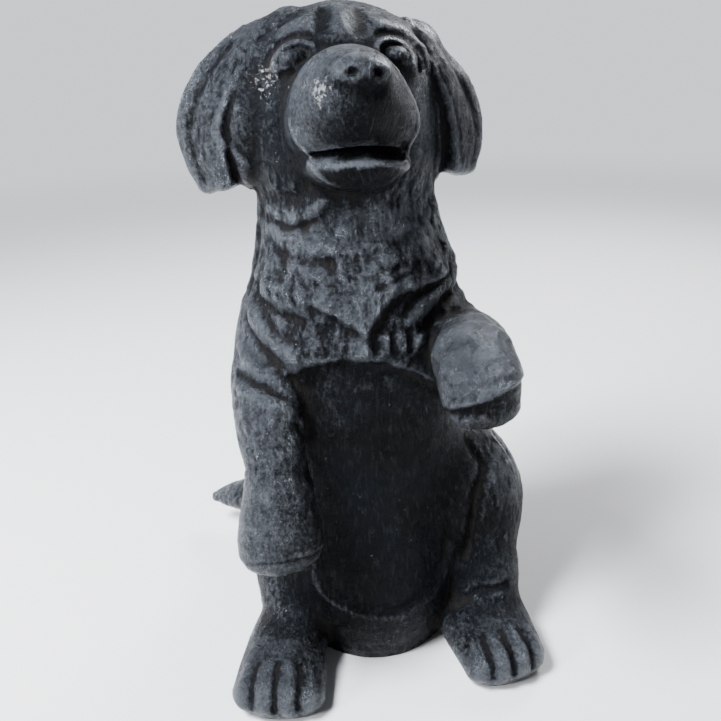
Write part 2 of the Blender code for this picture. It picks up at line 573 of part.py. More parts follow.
def parted(corners):
    """Whether cube corners fall in two or more groups with no cube edge between them."""
    if not corners:
        return False
    group = [corners[0]]
    for a in group:
        group += [b for b in corners if b not in group and sum(abs(i - j) for i, j in zip(a, b)) == 1]
    return len(group) < len(corners)


def corner_cases(inside):
    """The pattern of inside corners of each cube, as a number from 0 to 255."""
    size = np.array(inside.shape) - 1
    return sum(inside[i:i + size[0], j:j + size[1], k:k + size[2]].astype(np.int32) << n
               for n, (i, j, k) in enumerate(CORNERS))


def untangle(values, step):
    """Fills single grid points until no cube holds two separate pieces of metal or of air."""
    names = [tuple(c) for c in CORNERS]
    bad = np.array([any(parted([c for n, c in enumerate(names) if (case >> n & 1) == state])
                        for state in (0, 1)) for case in range(256)])
    cubes = np.argwhere(bad[corner_cases(values < 0)])
    while len(cubes):
        around = np.stack([values[tuple((cubes + c).T)] for c in CORNERS], 1)
        pick = cubes + CORNERS[np.where(around < 0, np.inf, around).argmin(1)]
        values[tuple(pick.T)] = -0.05 * step
        cubes = np.argwhere(bad[corner_cases(values < 0)])
    return values


def skin(values, first, step):
    """One vertex in each grid cube that the skin crosses, one quad on each grid edge that it crosses."""
    values = untangle(values, step)
    inside = values < 0
    size = np.array(values.shape) - 1
    count = corner_cases(inside)
    cubes = np.argwhere((count > 0) & (count < 255))
    number = np.full(size, -1)
    number[tuple(cubes.T)] = np.arange(len(cubes))
    total = np.zeros((len(cubes), 3))
    crossings = np.zeros(len(cubes))
    for a in CORNERS:
        for axis in np.flatnonzero(a == 0):
            along = np.eye(3, dtype=int)[axis]
            va = values[tuple((cubes + a).T)]
            vb = values[tuple((cubes + a + along).T)]
            hit = (va < 0) != (vb < 0)
            t = np.where(hit, va / np.where(hit, va - vb, 1), 0)
            total += np.where(hit[:, None], a + t[:, None] * along, 0)
            crossings += hit
    vertices = first + step * (cubes + total / crossings[:, None])
    quads = []
    for axis in range(3):
        u, v = (axis + 1) % 3, (axis + 2) % 3
        ahead = np.roll(inside, -1, axis)
        ahead.swapaxes(0, axis)[-1] = inside.swapaxes(0, axis)[-1]
        edges = np.argwhere(inside != ahead)
        edges = edges[(edges[:, u] > 0) & (edges[:, v] > 0)]
        outward = inside[tuple(edges.T)]
        ring = []
        for du, dv in ((-1, -1), (0, -1), (0, 0), (-1, 0)):
            cube = edges.copy()
            cube[:, u] += du
            cube[:, v] += dv
            ring.append(number[tuple(cube.T)])
        ring = np.stack(ring, 1)
        ring[~outward] = ring[~outward][:, ::-1]
        quads.append(ring)
    return vertices, np.concatenate(quads)


def new_object(name, vertices, faces):
    """Mesh object from arrays."""
    mesh = bpy.data.meshes.new(name)
    mesh.from_pydata(vertices.tolist(), [], faces.tolist())
    obj = bpy.data.objects.new(name, mesh)
    bpy.context.scene.collection.objects.link(obj)
    return obj


def thin_out(obj, triangles):
    """Fewer triangles, kept where the form bends most."""
    modifier = obj.modifiers.new("thin out", "DECIMATE")
    modifier.ratio = triangles / (2 * len(obj.data.polygons))
    modifier.use_collapse_triangulate = True
    mesh = bpy.data.meshes.new_from_object(obj.evaluated_get(bpy.context.evaluated_depsgraph_get()))
    obj.modifiers.clear()
    obj.data = mesh


def cut_at_ground(obj, scale):
    """Cuts the body flat at z = 0, closes the cut and carries the mesh to size."""
    bm = bmesh.new()
    bm.from_mesh(obj.data)
    bmesh.ops.bisect_plane(bm, geom=bm.verts[:] + bm.edges[:] + bm.faces[:], dist=CUT_SNAP,
                           plane_co=(0, 0, 0), plane_no=(0, 0, 1), clear_inner=True)
    bmesh.ops.holes_fill(bm, edges=[e for e in bm.edges if e.is_boundary], sides=0)
    for v in bm.verts:
        if abs(v.co.z) < 1.5 * CUT_SNAP:
            v.co.z = 0.0
    bmesh.ops.dissolve_degenerate(bm, dist=CUT_SNAP / 2, edges=bm.edges[:])
    bmesh.ops.triangulate(bm, faces=bm.faces[:])
    bmesh.ops.recalc_face_normals(bm, faces=bm.faces[:])
    bmesh.ops.scale(bm, vec=(scale, scale, scale), verts=bm.verts[:])
    bm.to_mesh(obj.data)
    bm.free()


def cast_metal():
    """Dark patinated cast aluminium."""
    material = bpy.data.materials.new("dark_cast_aluminium")
    material.use_nodes = True
    shader = material.node_tree.nodes["Principled BSDF"]
    shader.inputs["Base Color"].default_value = (0.03, 0.033, 0.038, 1.0)
    shader.inputs["Metallic"].default_value = 0.7
    shader.inputs["Roughness"].default_value = 0.42
    return material


def main():
    """Builds the statue as one object, its underside on z = 0 and its front facing -Y."""
    for obj in list(bpy.data.objects):
        bpy.data.objects.remove(obj)
    vertices, quads = skin(*sample(dog, LOW, HIGH, GRID), GRID)
    vertices = settle(dog, vertices, GRID / 4, GRID)
    statue = new_object("dog_statue", vertices, quads)
    thin_out(statue, TRIANGLES)
    top = max(v.co.z for v in statue.data.vertices)
    cut_at_ground(statue, HEIGHT / top)
    statue.data.materials.append(cast_metal())


main()
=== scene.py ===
"""Looks of the begging puppy statue: its carved skin, its worn dark metal, a soft studio and a camera.

The form is a signed distance in its own units, hundredths of the statue's height: x to the dog's left,
-y to its front, z up, the ground at 0. The head has a frame of its own: x, forward, up. The form is
sampled on a grid, turned into a closed skin, carved with fur, thinned out and carried to the CAD box.
"""

import logging
from collections.abc import Callable, Iterable
from dataclasses import dataclass
from enum import Enum
from itertools import product

import bmesh
import bpy
import numpy as np
from mathutils import Matrix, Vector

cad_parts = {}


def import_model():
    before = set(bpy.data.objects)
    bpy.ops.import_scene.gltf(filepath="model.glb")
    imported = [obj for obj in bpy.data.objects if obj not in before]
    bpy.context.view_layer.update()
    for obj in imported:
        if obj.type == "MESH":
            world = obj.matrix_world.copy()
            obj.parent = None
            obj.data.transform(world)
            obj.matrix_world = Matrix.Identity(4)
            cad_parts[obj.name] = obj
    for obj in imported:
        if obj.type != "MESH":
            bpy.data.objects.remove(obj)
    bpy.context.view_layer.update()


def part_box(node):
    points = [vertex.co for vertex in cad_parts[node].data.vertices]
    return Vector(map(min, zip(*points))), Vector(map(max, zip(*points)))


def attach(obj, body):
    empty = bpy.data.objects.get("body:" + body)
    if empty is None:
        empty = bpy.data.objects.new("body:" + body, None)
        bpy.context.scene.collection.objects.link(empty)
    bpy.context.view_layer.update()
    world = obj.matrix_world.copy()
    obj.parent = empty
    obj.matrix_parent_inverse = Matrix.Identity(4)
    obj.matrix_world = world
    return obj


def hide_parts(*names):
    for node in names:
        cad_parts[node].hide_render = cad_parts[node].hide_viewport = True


LOG = logging.getLogger("statue")
NODE = "dog_statue"
BODY = "root"
FLATTEST = 0.05          # least squared slope that a move onto the skin is worked out with
FADE = 3                 # a carved line has no effect past this many half widths
LINE_STEPS = 3           # steps between two rows of a carved line
ARC_POINTS = 9           # points along the arc of a lid or of the snout's rim
TINY = 1e-9              # least length that is divided by

Array = np.ndarray
Row = tuple[float, ...]
Pair = tuple[float, float]
Distance = Callable[[Array], Array]


def smooth_min(a: Array, b: Array, fillet: float) -> Array:
    """Joins two distances: the lower one, less k·h·(1-h) where h blends them over the fillet k.

    Args:
        a: Distances to one shape.
        b: Distances to the other.
        fillet: Width of the blend, in form units.

    Returns:
        Distances to the union.
    """
    h = np.clip(0.5 + 0.5 * (b - a) / fillet, 0, 1)
    return b + (a - b) * h - fillet * h * (1 - h)


def smooth_max(a: Array, b: Array, fillet: float) -> Array:
    """Cuts one distance with another, the edge rounded as in smooth_min with its signs turned."""
    return -smooth_min(-a, -b, fillet)


def rise(x: Array, soft: float) -> Array:
    """Smooth step from 0 to 1: half of 1 + tanh(x / soft)."""
    return 0.5 + 0.5 * np.tanh(x / soft)


def turn(x: float, y: float, z: float) -> Array:
    """Rotation matrix for turns about x, y and z in degrees, in that order."""
    a, b, c = np.radians([x, y, z])
    rx = np.array([[1, 0, 0], [0, np.cos(a), -np.sin(a)], [0, np.sin(a), np.cos(a)]])
    ry = np.array([[np.cos(b), 0, np.sin(b)], [0, 1, 0], [-np.sin(b), 0, np.cos(b)]])
    rz = np.array([[np.cos(c), -np.sin(c), 0], [np.sin(c), np.cos(c), 0], [0, 0, 1]])
    return rz @ ry @ rx


def unit(v: Array) -> Array:
    """Vectors scaled to length 1."""
    return v / np.maximum(np.linalg.norm(v, axis=-1, keepdims=True), TINY)


def oval(q: Array, radii: Array, power: float = 2.0) -> Array:
    """Near distance to an ellipsoid round the origin: (k-1) over the slope of k.

    Args:
        q: Points in the ellipsoid's frame.
        radii: Its half axes, one row or one for each point.
        power: 2 for an ellipsoid, more for squarer sides.

    Returns:
        Distances, where k is the sum of |q / radii|^power to the power 1 / power.
    """
    share = np.abs(q / radii)
    k = np.maximum((share ** power).sum(1), 1e-12) ** (1 / power)
    slope = np.linalg.norm(share ** (power - 1) / radii, axis=1) / k ** (power - 1)
    return (k - 1) / np.maximum(slope, 1e-6)


def smooth_path(rows: Iterable[Row], steps: int) -> Array:
    """Rows resampled along a Catmull-Rom curve, with so many steps between two of them."""
    rows = np.array(rows, float)
    ends = np.vstack([2 * rows[0] - rows[1], rows, 2 * rows[-1] - rows[-2]])
    t = (np.arange(steps) / steps)[:, None]
    spans = [0.5 * (2 * b + (c - a) * t + (2 * a - 5 * b + 4 * c - d) * t ** 2
                    + (3 * b - a - 3 * c + d) * t ** 3)
             for a, b, c, d in zip(ends[:-3], ends[1:-2], ends[2:-1], ends[3:])]
    return np.vstack(spans + [rows[-1:]])


def nearest(p: Array, path: Array) -> tuple[Array, Array, Array]:
    """Nearest span of a path, the share along it and the squared distance, for each point."""
    best = np.full(len(p), np.inf)
    span = np.zeros(len(p), int)
    share = np.zeros(len(p))
    for i in range(len(path) - 1):
        a = path[i, :3]
        ab = path[i + 1, :3] - a
        q = p - a
        t = np.clip(q @ ab / (ab @ ab), 0, 1)
        d2 = ((q - t[:, None] * ab) ** 2).sum(1)
        closer = d2 < best
        best[closer] = d2[closer]
        span[closer] = i
        share[closer] = t[closer]
    return span, share, best


def heading(p: Array, path: Array) -> Array:
    """Direction of a path beside each point."""
    return unit(np.diff(path[:, :3], axis=0))[nearest(p, path)[0]]


def settled(distance: Distance, p: Array, reach: float, rounds: int = 1, limit: float = 2.0) -> Array:
    """Moves points onto the zero of a distance: less distance·slope / |slope|², by four points round each.

    Args:
        distance: The form.
        p: The points.
        reach: How far off the four points lie along each axis.
        rounds: How often the points are moved.
        limit: Longest single move.

    Returns:
        The points on the skin.
    """
    legs = np.array([(1, 1, 1), (1, -1, -1), (-1, 1, -1), (-1, -1, 1)])
    for _ in range(rounds):
        around = np.stack([distance(p + reach * leg) for leg in legs])
        slope = np.einsum("kn,kj->nj", around, legs) / (4 * reach)
        move = (around.mean(0) / np.maximum((slope ** 2).sum(1), FLATTEST))[:, None] * slope
        length = np.linalg.norm(move, axis=1, keepdims=True)
        p = p - move * np.minimum(1, limit / np.maximum(length, TINY))
    return p


@dataclass(frozen=True)
class Ball:
    """Ellipsoid: its centre, its half axes and its turns about x, y and z in degrees."""

    centre: Row
    radii: Row
    tilt: Row = (0, 0, 0)

    def distance(self, p: Array) -> Array:
        """Distances from the points, by the oval formula in the ellipsoid's frame."""
        return oval((p - np.array(self.centre)) @ turn(*self.tilt), np.array(self.radii, float))


@dataclass(frozen=True)
class Tube:
    """Round tube of changing radius: rows of x, y, z and radius."""

    rows: tuple[Row, ...]
    steps: int = 3

    def distance(self, p: Array) -> Array:
        """Distances: how far the nearest point of the path lies, less the radius there."""
        path = smooth_path(self.rows, self.steps)
        span, t, d2 = nearest(p, path)
        return np.sqrt(d2) - (path[span, 3] * (1 - t) + path[span + 1, 3] * t)

    def along(self, p: Array) -> Array:
        """Direction of the tube's path beside each point."""
        return heading(p, smooth_path(self.rows, self.steps))


@dataclass(frozen=True)
class Sweep:
    """Oval profile carried along a path: rows of x, y, z, half width and half depth.

    side is the direction of the half width, cap how far the round ends run on, as a share of the smaller
    half axis, and power what makes the profile squarer than an oval.
    """

    rows: tuple[Row, ...]
    side: Row = (1, 0, 0)
    cap: float = 0.8
    steps: int = 4
    power: float = 2.0

    def path(self) -> Array:
        """The rows along their smooth curve."""
        return smooth_path(self.rows, self.steps)

    def distance(self, p: Array) -> Array:
        """Distances, by the oval formula in the frame of the nearest point of the path."""
        path = self.path()
        span, t, _ = nearest(p, path)
        a, b = path[span], path[span + 1]
        c = a + (b - a) * t[:, None]
        axis = unit(b[:, :3] - a[:, :3])
        side = np.array(self.side, float)
        across = unit(side - (axis @ side)[:, None] * axis)
        depth = np.cross(axis, across)
        o = p - c[:, :3]
        past = ((span == 0) & (t <= 0)) | ((span == len(path) - 2) & (t >= 1))
        q = np.stack([(o * across).sum(1), (o * depth).sum(1), (o * axis).sum(1) * past], 1)
        return oval(q, np.stack([c[:, 3], c[:, 4], np.minimum(c[:, 3], c[:, 4]) * self.cap], 1), self.power)

    def along(self, p: Array) -> Array:
        """Direction of the path beside each point."""
        return heading(p, self.path())


@dataclass(frozen=True)
class Line:
    """Carved line: a ridge of this height, or a groove below zero, along rows of x, y, z and half width.

    rubbed is how much brighter the metal is painted along it: a painted highlight, as on a lit rim.
    """

    height: float
    rows: tuple[Row, ...]
    rubbed_and_lit: float = 0.0

    def share(self, p: Array) -> tuple[Array, Array]:
        """Which points lie near the line, and exp(-(distance to the line / half width)²) for those."""
        rows = np.array(self.rows, float)
        middle = (rows[:, :3].max(0) + rows[:, :3].min(0)) / 2
        reach = np.linalg.norm(rows[:, :3] - middle, axis=1).max() + FADE * rows[:, 3].max()
        near = ((p - middle) ** 2).sum(1) < reach ** 2
        path = smooth_path(rows, LINE_STEPS)
        span, t, d2 = nearest(p[near], path)
        width = path[span, 3] * (1 - t) + path[span + 1, 3] * t
        return near, np.exp(-d2 / width ** 2)

    def carve(self, d: Array, p: Array) -> Array:
        """Distances with the line in them, less the height times the share."""
        near, share = self.share(p)
        d[near] -= self.height * share
        return d


def blend_in(d: Array, p: Array, centre: Row, reach: float, shape: Distance, fillet: float) -> Array:
    """Joins a local shape, worked out only for the points within reach of a centre.

    Args:
        d: Distances so far, changed in place.
        p: The points.
        centre: Middle of the local shape.
        reach: Radius round it that is worked out.
        shape: The shape's distance.
        fillet: Width of the blend.

    Returns:
        The distances.
    """
    near = ((p - np.array(centre)) ** 2).sum(1) < reach ** 2
    if near.any():
        d[near] = smooth_min(d[near], shape(p[near]), fillet)
    return d


@dataclass(frozen=True)
class Torso:
    """Body from the rump on the ground to the inside of the head."""

    skin: Sweep = Sweep((
        (1.4, -2.0, -8, 14.0, 17.5), (1.4, -1.2, 0, 16.4, 20.9), (1.4, -0.4, 8, 18.0, 22.2),
        (1.2, -0.4, 17, 18.4, 20.8), (1.2, -1.0, 27, 18.0, 18.4), (1.4, -1.4, 36, 16.8, 16.2),
        (1.0, -1.4, 45, 16.4, 14.4), (0.8, -1.2, 53, 16.8, 13.9), (0.6, -0.9, 59, 15.9, 13.4),
        (0.5, -0.6, 65, 14.7, 12.2), (0.2, -0.6, 72, 13.5, 11.0), (0, -0.2, 79, 12.8, 10.8),
        (0, 1, 86, 12, 11)))

    def at(self, angle: float, z: float) -> Row:
        """Point of the skin at a height, angle 0 at the front and 90 at the dog's left."""
        path = self.skin.path()
        x, y, a, b = (np.interp(z, path[:, 2], path[:, i]) for i in (0, 1, 3, 4))
        s = np.radians(angle)
        return x + a * np.sin(s), y - b * np.cos(s), z


@dataclass(frozen=True)
class Roll:
    """Fold on the torso: a ridge, or a groove below zero, along rows of angle, height and half width."""

    height: float
    rows: tuple[Row, ...]

    def line(self, torso: Torso) -> Line:
        """The fold laid on the torso's skin."""
        return Line(self.height, tuple((*torso.at(angle, z), width) for angle, z, width in self.rows))


@dataclass(frozen=True)
class Paw:
    """Foot or paw with rounded toes, each groove and each toe's back a fan over the rounded end.

    groove and back are depth or height and half width. They begin at start, a share of the last span, at
    inside of their place across and thin times their width, and go over the end at the angles. A paw that
    points up or down by more than upright has its toes side by side along x.
    """

    skin: Sweep
    toes: int = 4
    groove: Pair = (0.65, 0.42)
    back: Pair = (0.35, 1.0)
    start: float = 0.7
    inside: float = 0.9
    thin: float = 0.6
    angles: Row = (90, 50, 15)
    upright: float = 0.9

    def lines(self) -> list[Line]:
        """The grooves between the toes and the toes' backs."""
        depth, width = self.groove
        grooves = [self.fan(1 - 2 * i / self.toes, -depth, width) for i in range(1, self.toes)]
        backs = [self.fan(1 - (2 * i + 1) / self.toes, *self.back) for i in range(self.toes)]
        return grooves + backs

    def fan(self, share: float, height: float, width: float) -> Line:
        """Line at this share of the half width, over the end by the cosine and sine of its slope."""
        before, end = np.array(self.skin.rows[-2:])
        first = before + (end - before) * self.start
        ahead = unit(end[:3] - before[:3])
        across = np.cross(ahead, (0, 0, 1))
        across = unit(across) if abs(ahead[2]) < self.upright else np.array([1.0, 0, 0])
        top = np.cross(across, ahead)
        drop = np.sqrt(1 - share ** 2)
        start = first[:3] + across * share * first[3] * self.inside + top * first[4] * drop
        rows = [(*start, width * self.thin)]
        for t in np.radians(self.angles):
            point = end[:3] + across * share * end[3] + top * end[4] * drop * np.sin(t)
            rows.append((*(point + ahead * self.skin.cap * end[4] * drop * np.cos(t)), width))
        return Line(height, tuple(rows))


@dataclass(frozen=True)
class HindLeg:
    """Folded hind leg: haunch, shin and the foot that rests on the ground.

    centre and reach bound the shin and the foot, and each fillet is where that part meets the next.
    """

    haunch: Ball
    shin: Tube
    foot: Paw
    centre: Row
    reach: float = 24
    fillet: float = 1.6
    ankle: float = 1.5
    haunch_reach: float = 30
    haunch_fillet: float = 6.0

    def join(self, d: Array, p: Array) -> Array:
        """Distances with the leg joined on."""
        d = blend_in(d, p, self.haunch.centre, self.haunch_reach, self.haunch.distance, self.haunch_fillet)
        return blend_in(d, p, self.centre, self.reach, self.distance, self.fillet)

    def distance(self, p: Array) -> Array:
        """Distances to the shin and the foot."""
        return smooth_min(self.shin.distance(p), self.foot.skin.distance(p), self.ankle)


LEFT_LEG = HindLeg(
    Ball((19.1, -1.5, 16.4), (11.4, 15.6, 15.0), (-14, 0, -8)),
    Tube(((18.8, -11.0, 14.0, 7.4), (19.2, -14.5, 8.5, 6.8), (18.6, -17.0, 4.0, 6.2))),
    Paw(Sweep(((17.6, -13.5, 3.6, 7.6, 4.6), (18.3, -20.0, 3.8, 7.7, 4.8), (19.3, -28.0, 2.6, 6.9, 3.8)),
              cap=0.9)),
    (15, -18, 6))
RIGHT_LEG = HindLeg(
    Ball((-11.4, -1.5, 14.5), (9.0, 16.0, 13.2), (-14, 0, 8)),
    Tube(((-13.2, -11.0, 14.0, 6.2), (-13.2, -14.5, 8.5, 5.6), (-14.0, -17.0, 4.0, 5.2))),
    Paw(Sweep(((-13.6, -13.5, 3.6, 5.8, 4.6), (-15.3, -19.5, 3.8, 6.6, 4.8), (-17.3, -27.6, 2.6, 7.3, 3.8)),
              cap=0.9)),
    (-15, -18, 6))


@dataclass(frozen=True)
class Foreleg:
    """Foreleg from the shoulder to the wrist, with its paw. centre and reach bound it."""

    arm: Tube
    paw: Paw
    centre: Row
    reach: float = 34
    fillet: float = 1.6
    wrist: float = 1.5

    def join(self, d: Array, p: Array) -> Array:
        """Distances with the foreleg joined on."""
        return blend_in(d, p, self.centre, self.reach, self.distance, self.fillet)

    def distance(self, p: Array) -> Array:
        """Distances to the arm and the paw."""
        return smooth_min(self.arm.distance(p), self.paw.skin.distance(p), self.wrist)


RAISED = Foreleg(
    Tube(((10.4, -2.0, 54.6, 6.8), (14.2, -6.0, 51.8, 6.0), (16.0, -12.0, 51.8, 5.6),
          (15.0, -18.0, 53.4, 5.6), (13.6, -22.5, 54.6, 5.2))),
    Paw(Sweep(((13.5, -23.5, 55.6, 5.3, 4.7), (13.5, -26.8, 53.4, 5.8, 4.7), (13.8, -28.5, 49.7, 5.6, 4.1)))),
    (13, -15, 52))
HANGING = Foreleg(
    Tube(((-10.4, -2.0, 55.5, 7.2), (-12.2, -4.0, 51.0, 6.8), (-13.8, -7.5, 47.0, 6.1),
          (-14.4, -12.5, 43.6, 5.3), (-14.3, -16.5, 39.4, 4.7), (-14.2, -19.5, 35.0, 4.7))),
    Paw(Sweep(((-14.2, -19.5, 35.0, 4.9, 4.6), (-14.5, -21.6, 31.0, 6.0, 4.7), (-14.6, -22.8, 27.0, 6.3, 4.3),
               (-14.6, -23.0, 26.4, 5.9, 4.0))), groove=(0.4, 0.4), back=(0.15, 1.0)),
    (-14, -11, 42))


@dataclass(frozen=True)
class Sole:
    """Sole of the raised paw, set back below a sharp edge in a plane.

    reach and soft bound it round its centre.
    """

    normal: Row = (-0.3, 0.19, 0.93)
    level: float = 39.4
    inset: float = 0.55
    slope: float = 0.1
    edge: float = 0.22
    centre: Row = (13.6, -27.5, 52.0)
    reach: float = 9.0
    soft: float = 0.8

    def cut(self, d: Array, p: Array) -> Array:
        """Distances with the skin below the plane moved in, by the inset and a share of the depth below."""
        below = self.level - p @ np.array(self.normal)
        near = rise(self.reach - np.linalg.norm(p - np.array(self.centre), axis=1), self.soft)
        return d + near * (self.inset + self.slope * np.maximum(below, 0)) * rise(below, self.edge)


SOLE = Sole()


@dataclass(frozen=True)
class Tail:
    """Pointed tail that lies beside the right haunch. centre and reach bound it."""

    skin: Tube = Tube(((-6, 12, 13, 5.5), (-13, 14.5, 11, 4.6), (-20, 17.5, 8.8, 3.6),
                       (-25.0, 20.4, 7.2, 2.2), (-27.4, 21.8, 6.2, 1.1)))
    centre: Row = (-15, 16, 10)
    reach: float = 20
    fillet: float = 2.5

    def join(self, d: Array, p: Array) -> Array:
        """Distances with the tail joined on."""
        return blend_in(d, p, self.centre, self.reach, self.skin.distance, self.fillet)


TAIL = Tail()


@dataclass(frozen=True)
class Eye:
    """Eyeball with its lids, in the head's frame; side is 1 for the dog's left and -1 for its right.

    Each lid line is its height, half width, shift outward, half length, half height, first and last degree.
    The socket is cut ahead of the centre and over it, and the eyeball lies deep behind it.
    """

    side: int
    centre: Row
    ball: Row = (2.2, 2.0, 1.3)
    ball_depth: float = 1.55
    ball_fillet: float = 0.12
    socket: Row = (2.5, 1.5, 1.5)
    socket_shift: Pair = (0.9, 0.4)
    socket_edge: float = 0.6
    outward: float = 30
    lean: float = 20
    bend: float = 8.0
    lids: tuple[Row, ...] = ((0.95, 0.65, 0.4, 2.9, 2.0, -24, 168), (-0.6, 0.3, 0.2, 2.3, 1.4, -20, 175),
                             (0.5, 0.45, 0.2, 2.6, 1.5, 200, 340), (-0.5, 0.6, 0.9, 4.1, 3.6, -10, 120))

    def join(self, d: Array, q: Array) -> Array:
        """Distances with the socket cut and the eyeball in it."""
        x, forward, up = self.centre
        ahead, over = self.socket_shift
        tilt = (0, 0, -self.side * self.outward)
        socket = Ball((x, forward + ahead, up + over), self.socket, tilt)
        d = smooth_max(d, -socket.distance(q), self.socket_edge)
        ball = Ball((x, forward - self.ball_depth, up), self.ball, tilt)
        return smooth_min(d, ball.distance(q), self.ball_fillet)

    def lines(self) -> list[Line]:
        """Lids, grooves and fold: arcs of an ellipse round the eye, bent back with the brow."""
        yaw, lean = np.radians([self.outward, self.lean])
        level = np.array([self.side * np.sin(yaw), np.cos(yaw), 0])
        along = np.array([self.side * np.cos(yaw), -np.sin(yaw), 0])
        out = level * np.cos(lean) + np.array([0, 0, np.sin(lean)])
        over = np.array([0, 0, np.cos(lean)]) - level * np.sin(lean)
        lines = []
        for height, width, shift, length, tall, first, last in self.lids:
            rows = []
            for t in np.radians(np.linspace(first, last, ARC_POINTS)):
                a, b = shift + length * np.cos(t), tall * np.sin(t)
                point = self.centre + along * a + over * b - out * (a * a + b * b) / (2 * self.bend)
                rows.append((*point, width))
            lines.append(Line(height, tuple(rows)))
        return lines


@dataclass(frozen=True)
class Head:
    """Skull, cheeks and muzzle. The head's frame stands at centre and leans back by pitch degrees.

    The face is worked out within face_reach of face_centre. Fillets join parts, and edges round cuts.
    """

    centre: Row = (0.0, 1.0, 87.5)
    pitch: float = 19.0
    skull: Ball = Ball((0, 1.0, -0.3), (13.4, 12.6, 11.9))
    cheeks: Ball = Ball((-0.3, 0.6, -7.0), (13.5, 11.2, 9.5))
    muzzle: Sweep = Sweep(((-0.6, 5, -4.2, 7.8, 7.6), (-0.9, 10, -4.7, 7.6, 7.5), (-1.1, 15, -5.1, 7.1, 6.4)),
                          cap=1.42)
    jowls: Sweep = Sweep(((-0.3, 6, -7.4, 8.2, 5.6), (-0.3, 11, -7.8, 8.2, 5.2), (-0.3, 15, -8.2, 7.8, 4.6)),
                         cap=0.95)
    jaw: Sweep = Sweep(((0, 6, -10.6, 7.2, 4.2), (-0.2, 11, -11.5, 7.0, 3.8), (-0.3, 14.2, -12.3, 6.6, 3.2)),
                       cap=1.6)
    mouth: Sweep = Sweep(((-6.9, 15.5, -11.1, 1.4, 0.25), (-3.6, 18.0, -11.4, 1.7, 0.45),
                          (-0.2, 18.9, -11.6, 1.8, 0.5), (3.4, 18.0, -12.0, 1.7, 0.45),
                          (6.5, 15.5, -12.3, 1.4, 0.25)), (0, 0.72, -0.69), cap=1.0)
    nose: Ball = Ball((-0.5, 22.9, -4.0), (3.6, 2.5, 2.2), (-16, 0, 0))
    nostrils: tuple[Row, ...] = ((-1.9, 25.3, -4.4), (1.2, 25.3, -4.6))
    nostril: Row = (0.65, 0.8, 0.5)
    fillet: float = 3.0
    snout_fillet: float = 0.6
    jaw_fillet: float = 0.8
    nose_fillet: float = 0.5
    lip_edge: float = 0.3
    nostril_edge: float = 0.25
    face_centre: Row = (0, 12, -6)
    face_reach: float = 24
    eyes: tuple[Eye, ...] = (Eye(-1, (-6.9, 12.4, 1.4)), Eye(1, (5.8, 12.9, 1.2)))
    lines: tuple[Line, ...] = (
        # two dents in the forehead, the brows and the fold beside the left eye
        Line(-0.45, ((-3.0, 10.4, 8.0, 0.9), (-3.0, 11.0, 6.5, 1.3), (-3.4, 11.5, 5.0, 1.0))),
        Line(-0.45, ((1.9, 10.9, 7.8, 0.9), (1.8, 11.7, 6.1, 1.3), (1.5, 12.5, 4.6, 1.0))),
        Line(0.3, ((-0.6, 9.5, 8.4, 1.1), (-0.7, 11.5, 6.5, 1.1), (-0.8, 12.6, 4.6, 1.0))),
        Line(0.4, ((-8.4, 9.2, 5.6, 1.0), (-6.4, 10.0, 6.4, 1.3), (-4.6, 11.0, 5.8, 1.1))),
        Line(0.4, ((4.7, 11.4, 5.7, 1.0), (6.3, 10.4, 6.0, 1.2), (8.2, 9.4, 5.2, 1.0))),
        Line(0.45, ((5.8, 11.4, 5.4, 0.5), (8.4, 9.6, 5.0, 0.5), (10.4, 8.2, 3.4, 0.5),
                    (11.2, 7.8, 0.8, 0.5))),
        # the lower lip's rim: a ridge with a painted highlight along it
        Line(0.25, ((-7.2, 15.2, -12.2, 0.35), (-3.6, 18.0, -13.2, 0.35), (0, 18.8, -13.2, 0.35),
                    (3.4, 18.0, -13.5, 0.35), (6.4, 15.8, -13.7, 0.35)), rubbed_and_lit=1.4))
    # rim of the snout on either side, with a painted highlight along it, and the groove under the nose: the
    # values that arc takes
    arcs: tuple[Row, ...] = ((8.0, -6.6, 8.0, 16.5, -70, 75, 0.36, 0.5, 0.7),
                             (8.8, -6.8, 8.0, 16.0, 185, 250, 0.36, 0.3, 0.6),
                             (3.7, -4.5, 2.6, 24, 200, 340, 0.4, -0.2, 0.0))

    def arc(self, across: float, middle: float, over: float, forward: float, first: float, last: float,
            width: float, height: float, rubbed_and_lit: float) -> Line:
        """Line on an oval in a plane: x = across·cos(t), up = middle + over·sin(t), t in degrees."""
        return Line(height, tuple((across * np.cos(t), forward, middle + over * np.sin(t), width)
                                  for t in np.radians(np.linspace(first, last, ARC_POINTS))), rubbed_and_lit)

    def outlines(self) -> list[Line]:
        """The face's lines and arcs, carried out of the head's frame."""
        a = np.radians(self.pitch)
        out = np.array([(1, 0, 0), (0, -np.cos(a), np.sin(a)), (0, np.sin(a), np.cos(a))])
        return [Line(line.height, tuple((*(np.array(row[:3]) @ out + np.array(self.centre)), row[3])
                                        for row in line.rows), line.rubbed_and_lit)
                for line in (*self.lines, *(self.arc(*row) for row in self.arcs))]

    def local(self, p: Array) -> Array:
        """Points carried into the head's frame."""
        a = np.radians(self.pitch)
        q = p - np.array(self.centre)
        return np.stack([q[:, 0], -q[:, 1] * np.cos(a) + q[:, 2] * np.sin(a),
                         q[:, 1] * np.sin(a) + q[:, 2] * np.cos(a)], 1)

    def join(self, d: Array, p: Array) -> Array:
        """Distances with the head joined on."""
        q = self.local(p)
        head = smooth_min(self.skull.distance(q), self.cheeks.distance(q), self.fillet)
        snout = smooth_min(self.muzzle.distance(q), self.jowls.distance(q), self.fillet)
        d = smooth_min(d, smooth_min(head, snout, self.snout_fillet), self.fillet)
        near = ((q - np.array(self.face_centre)) ** 2).sum(1) < self.face_reach ** 2
        d[near] = self.face(d[near], q[near])
        return d

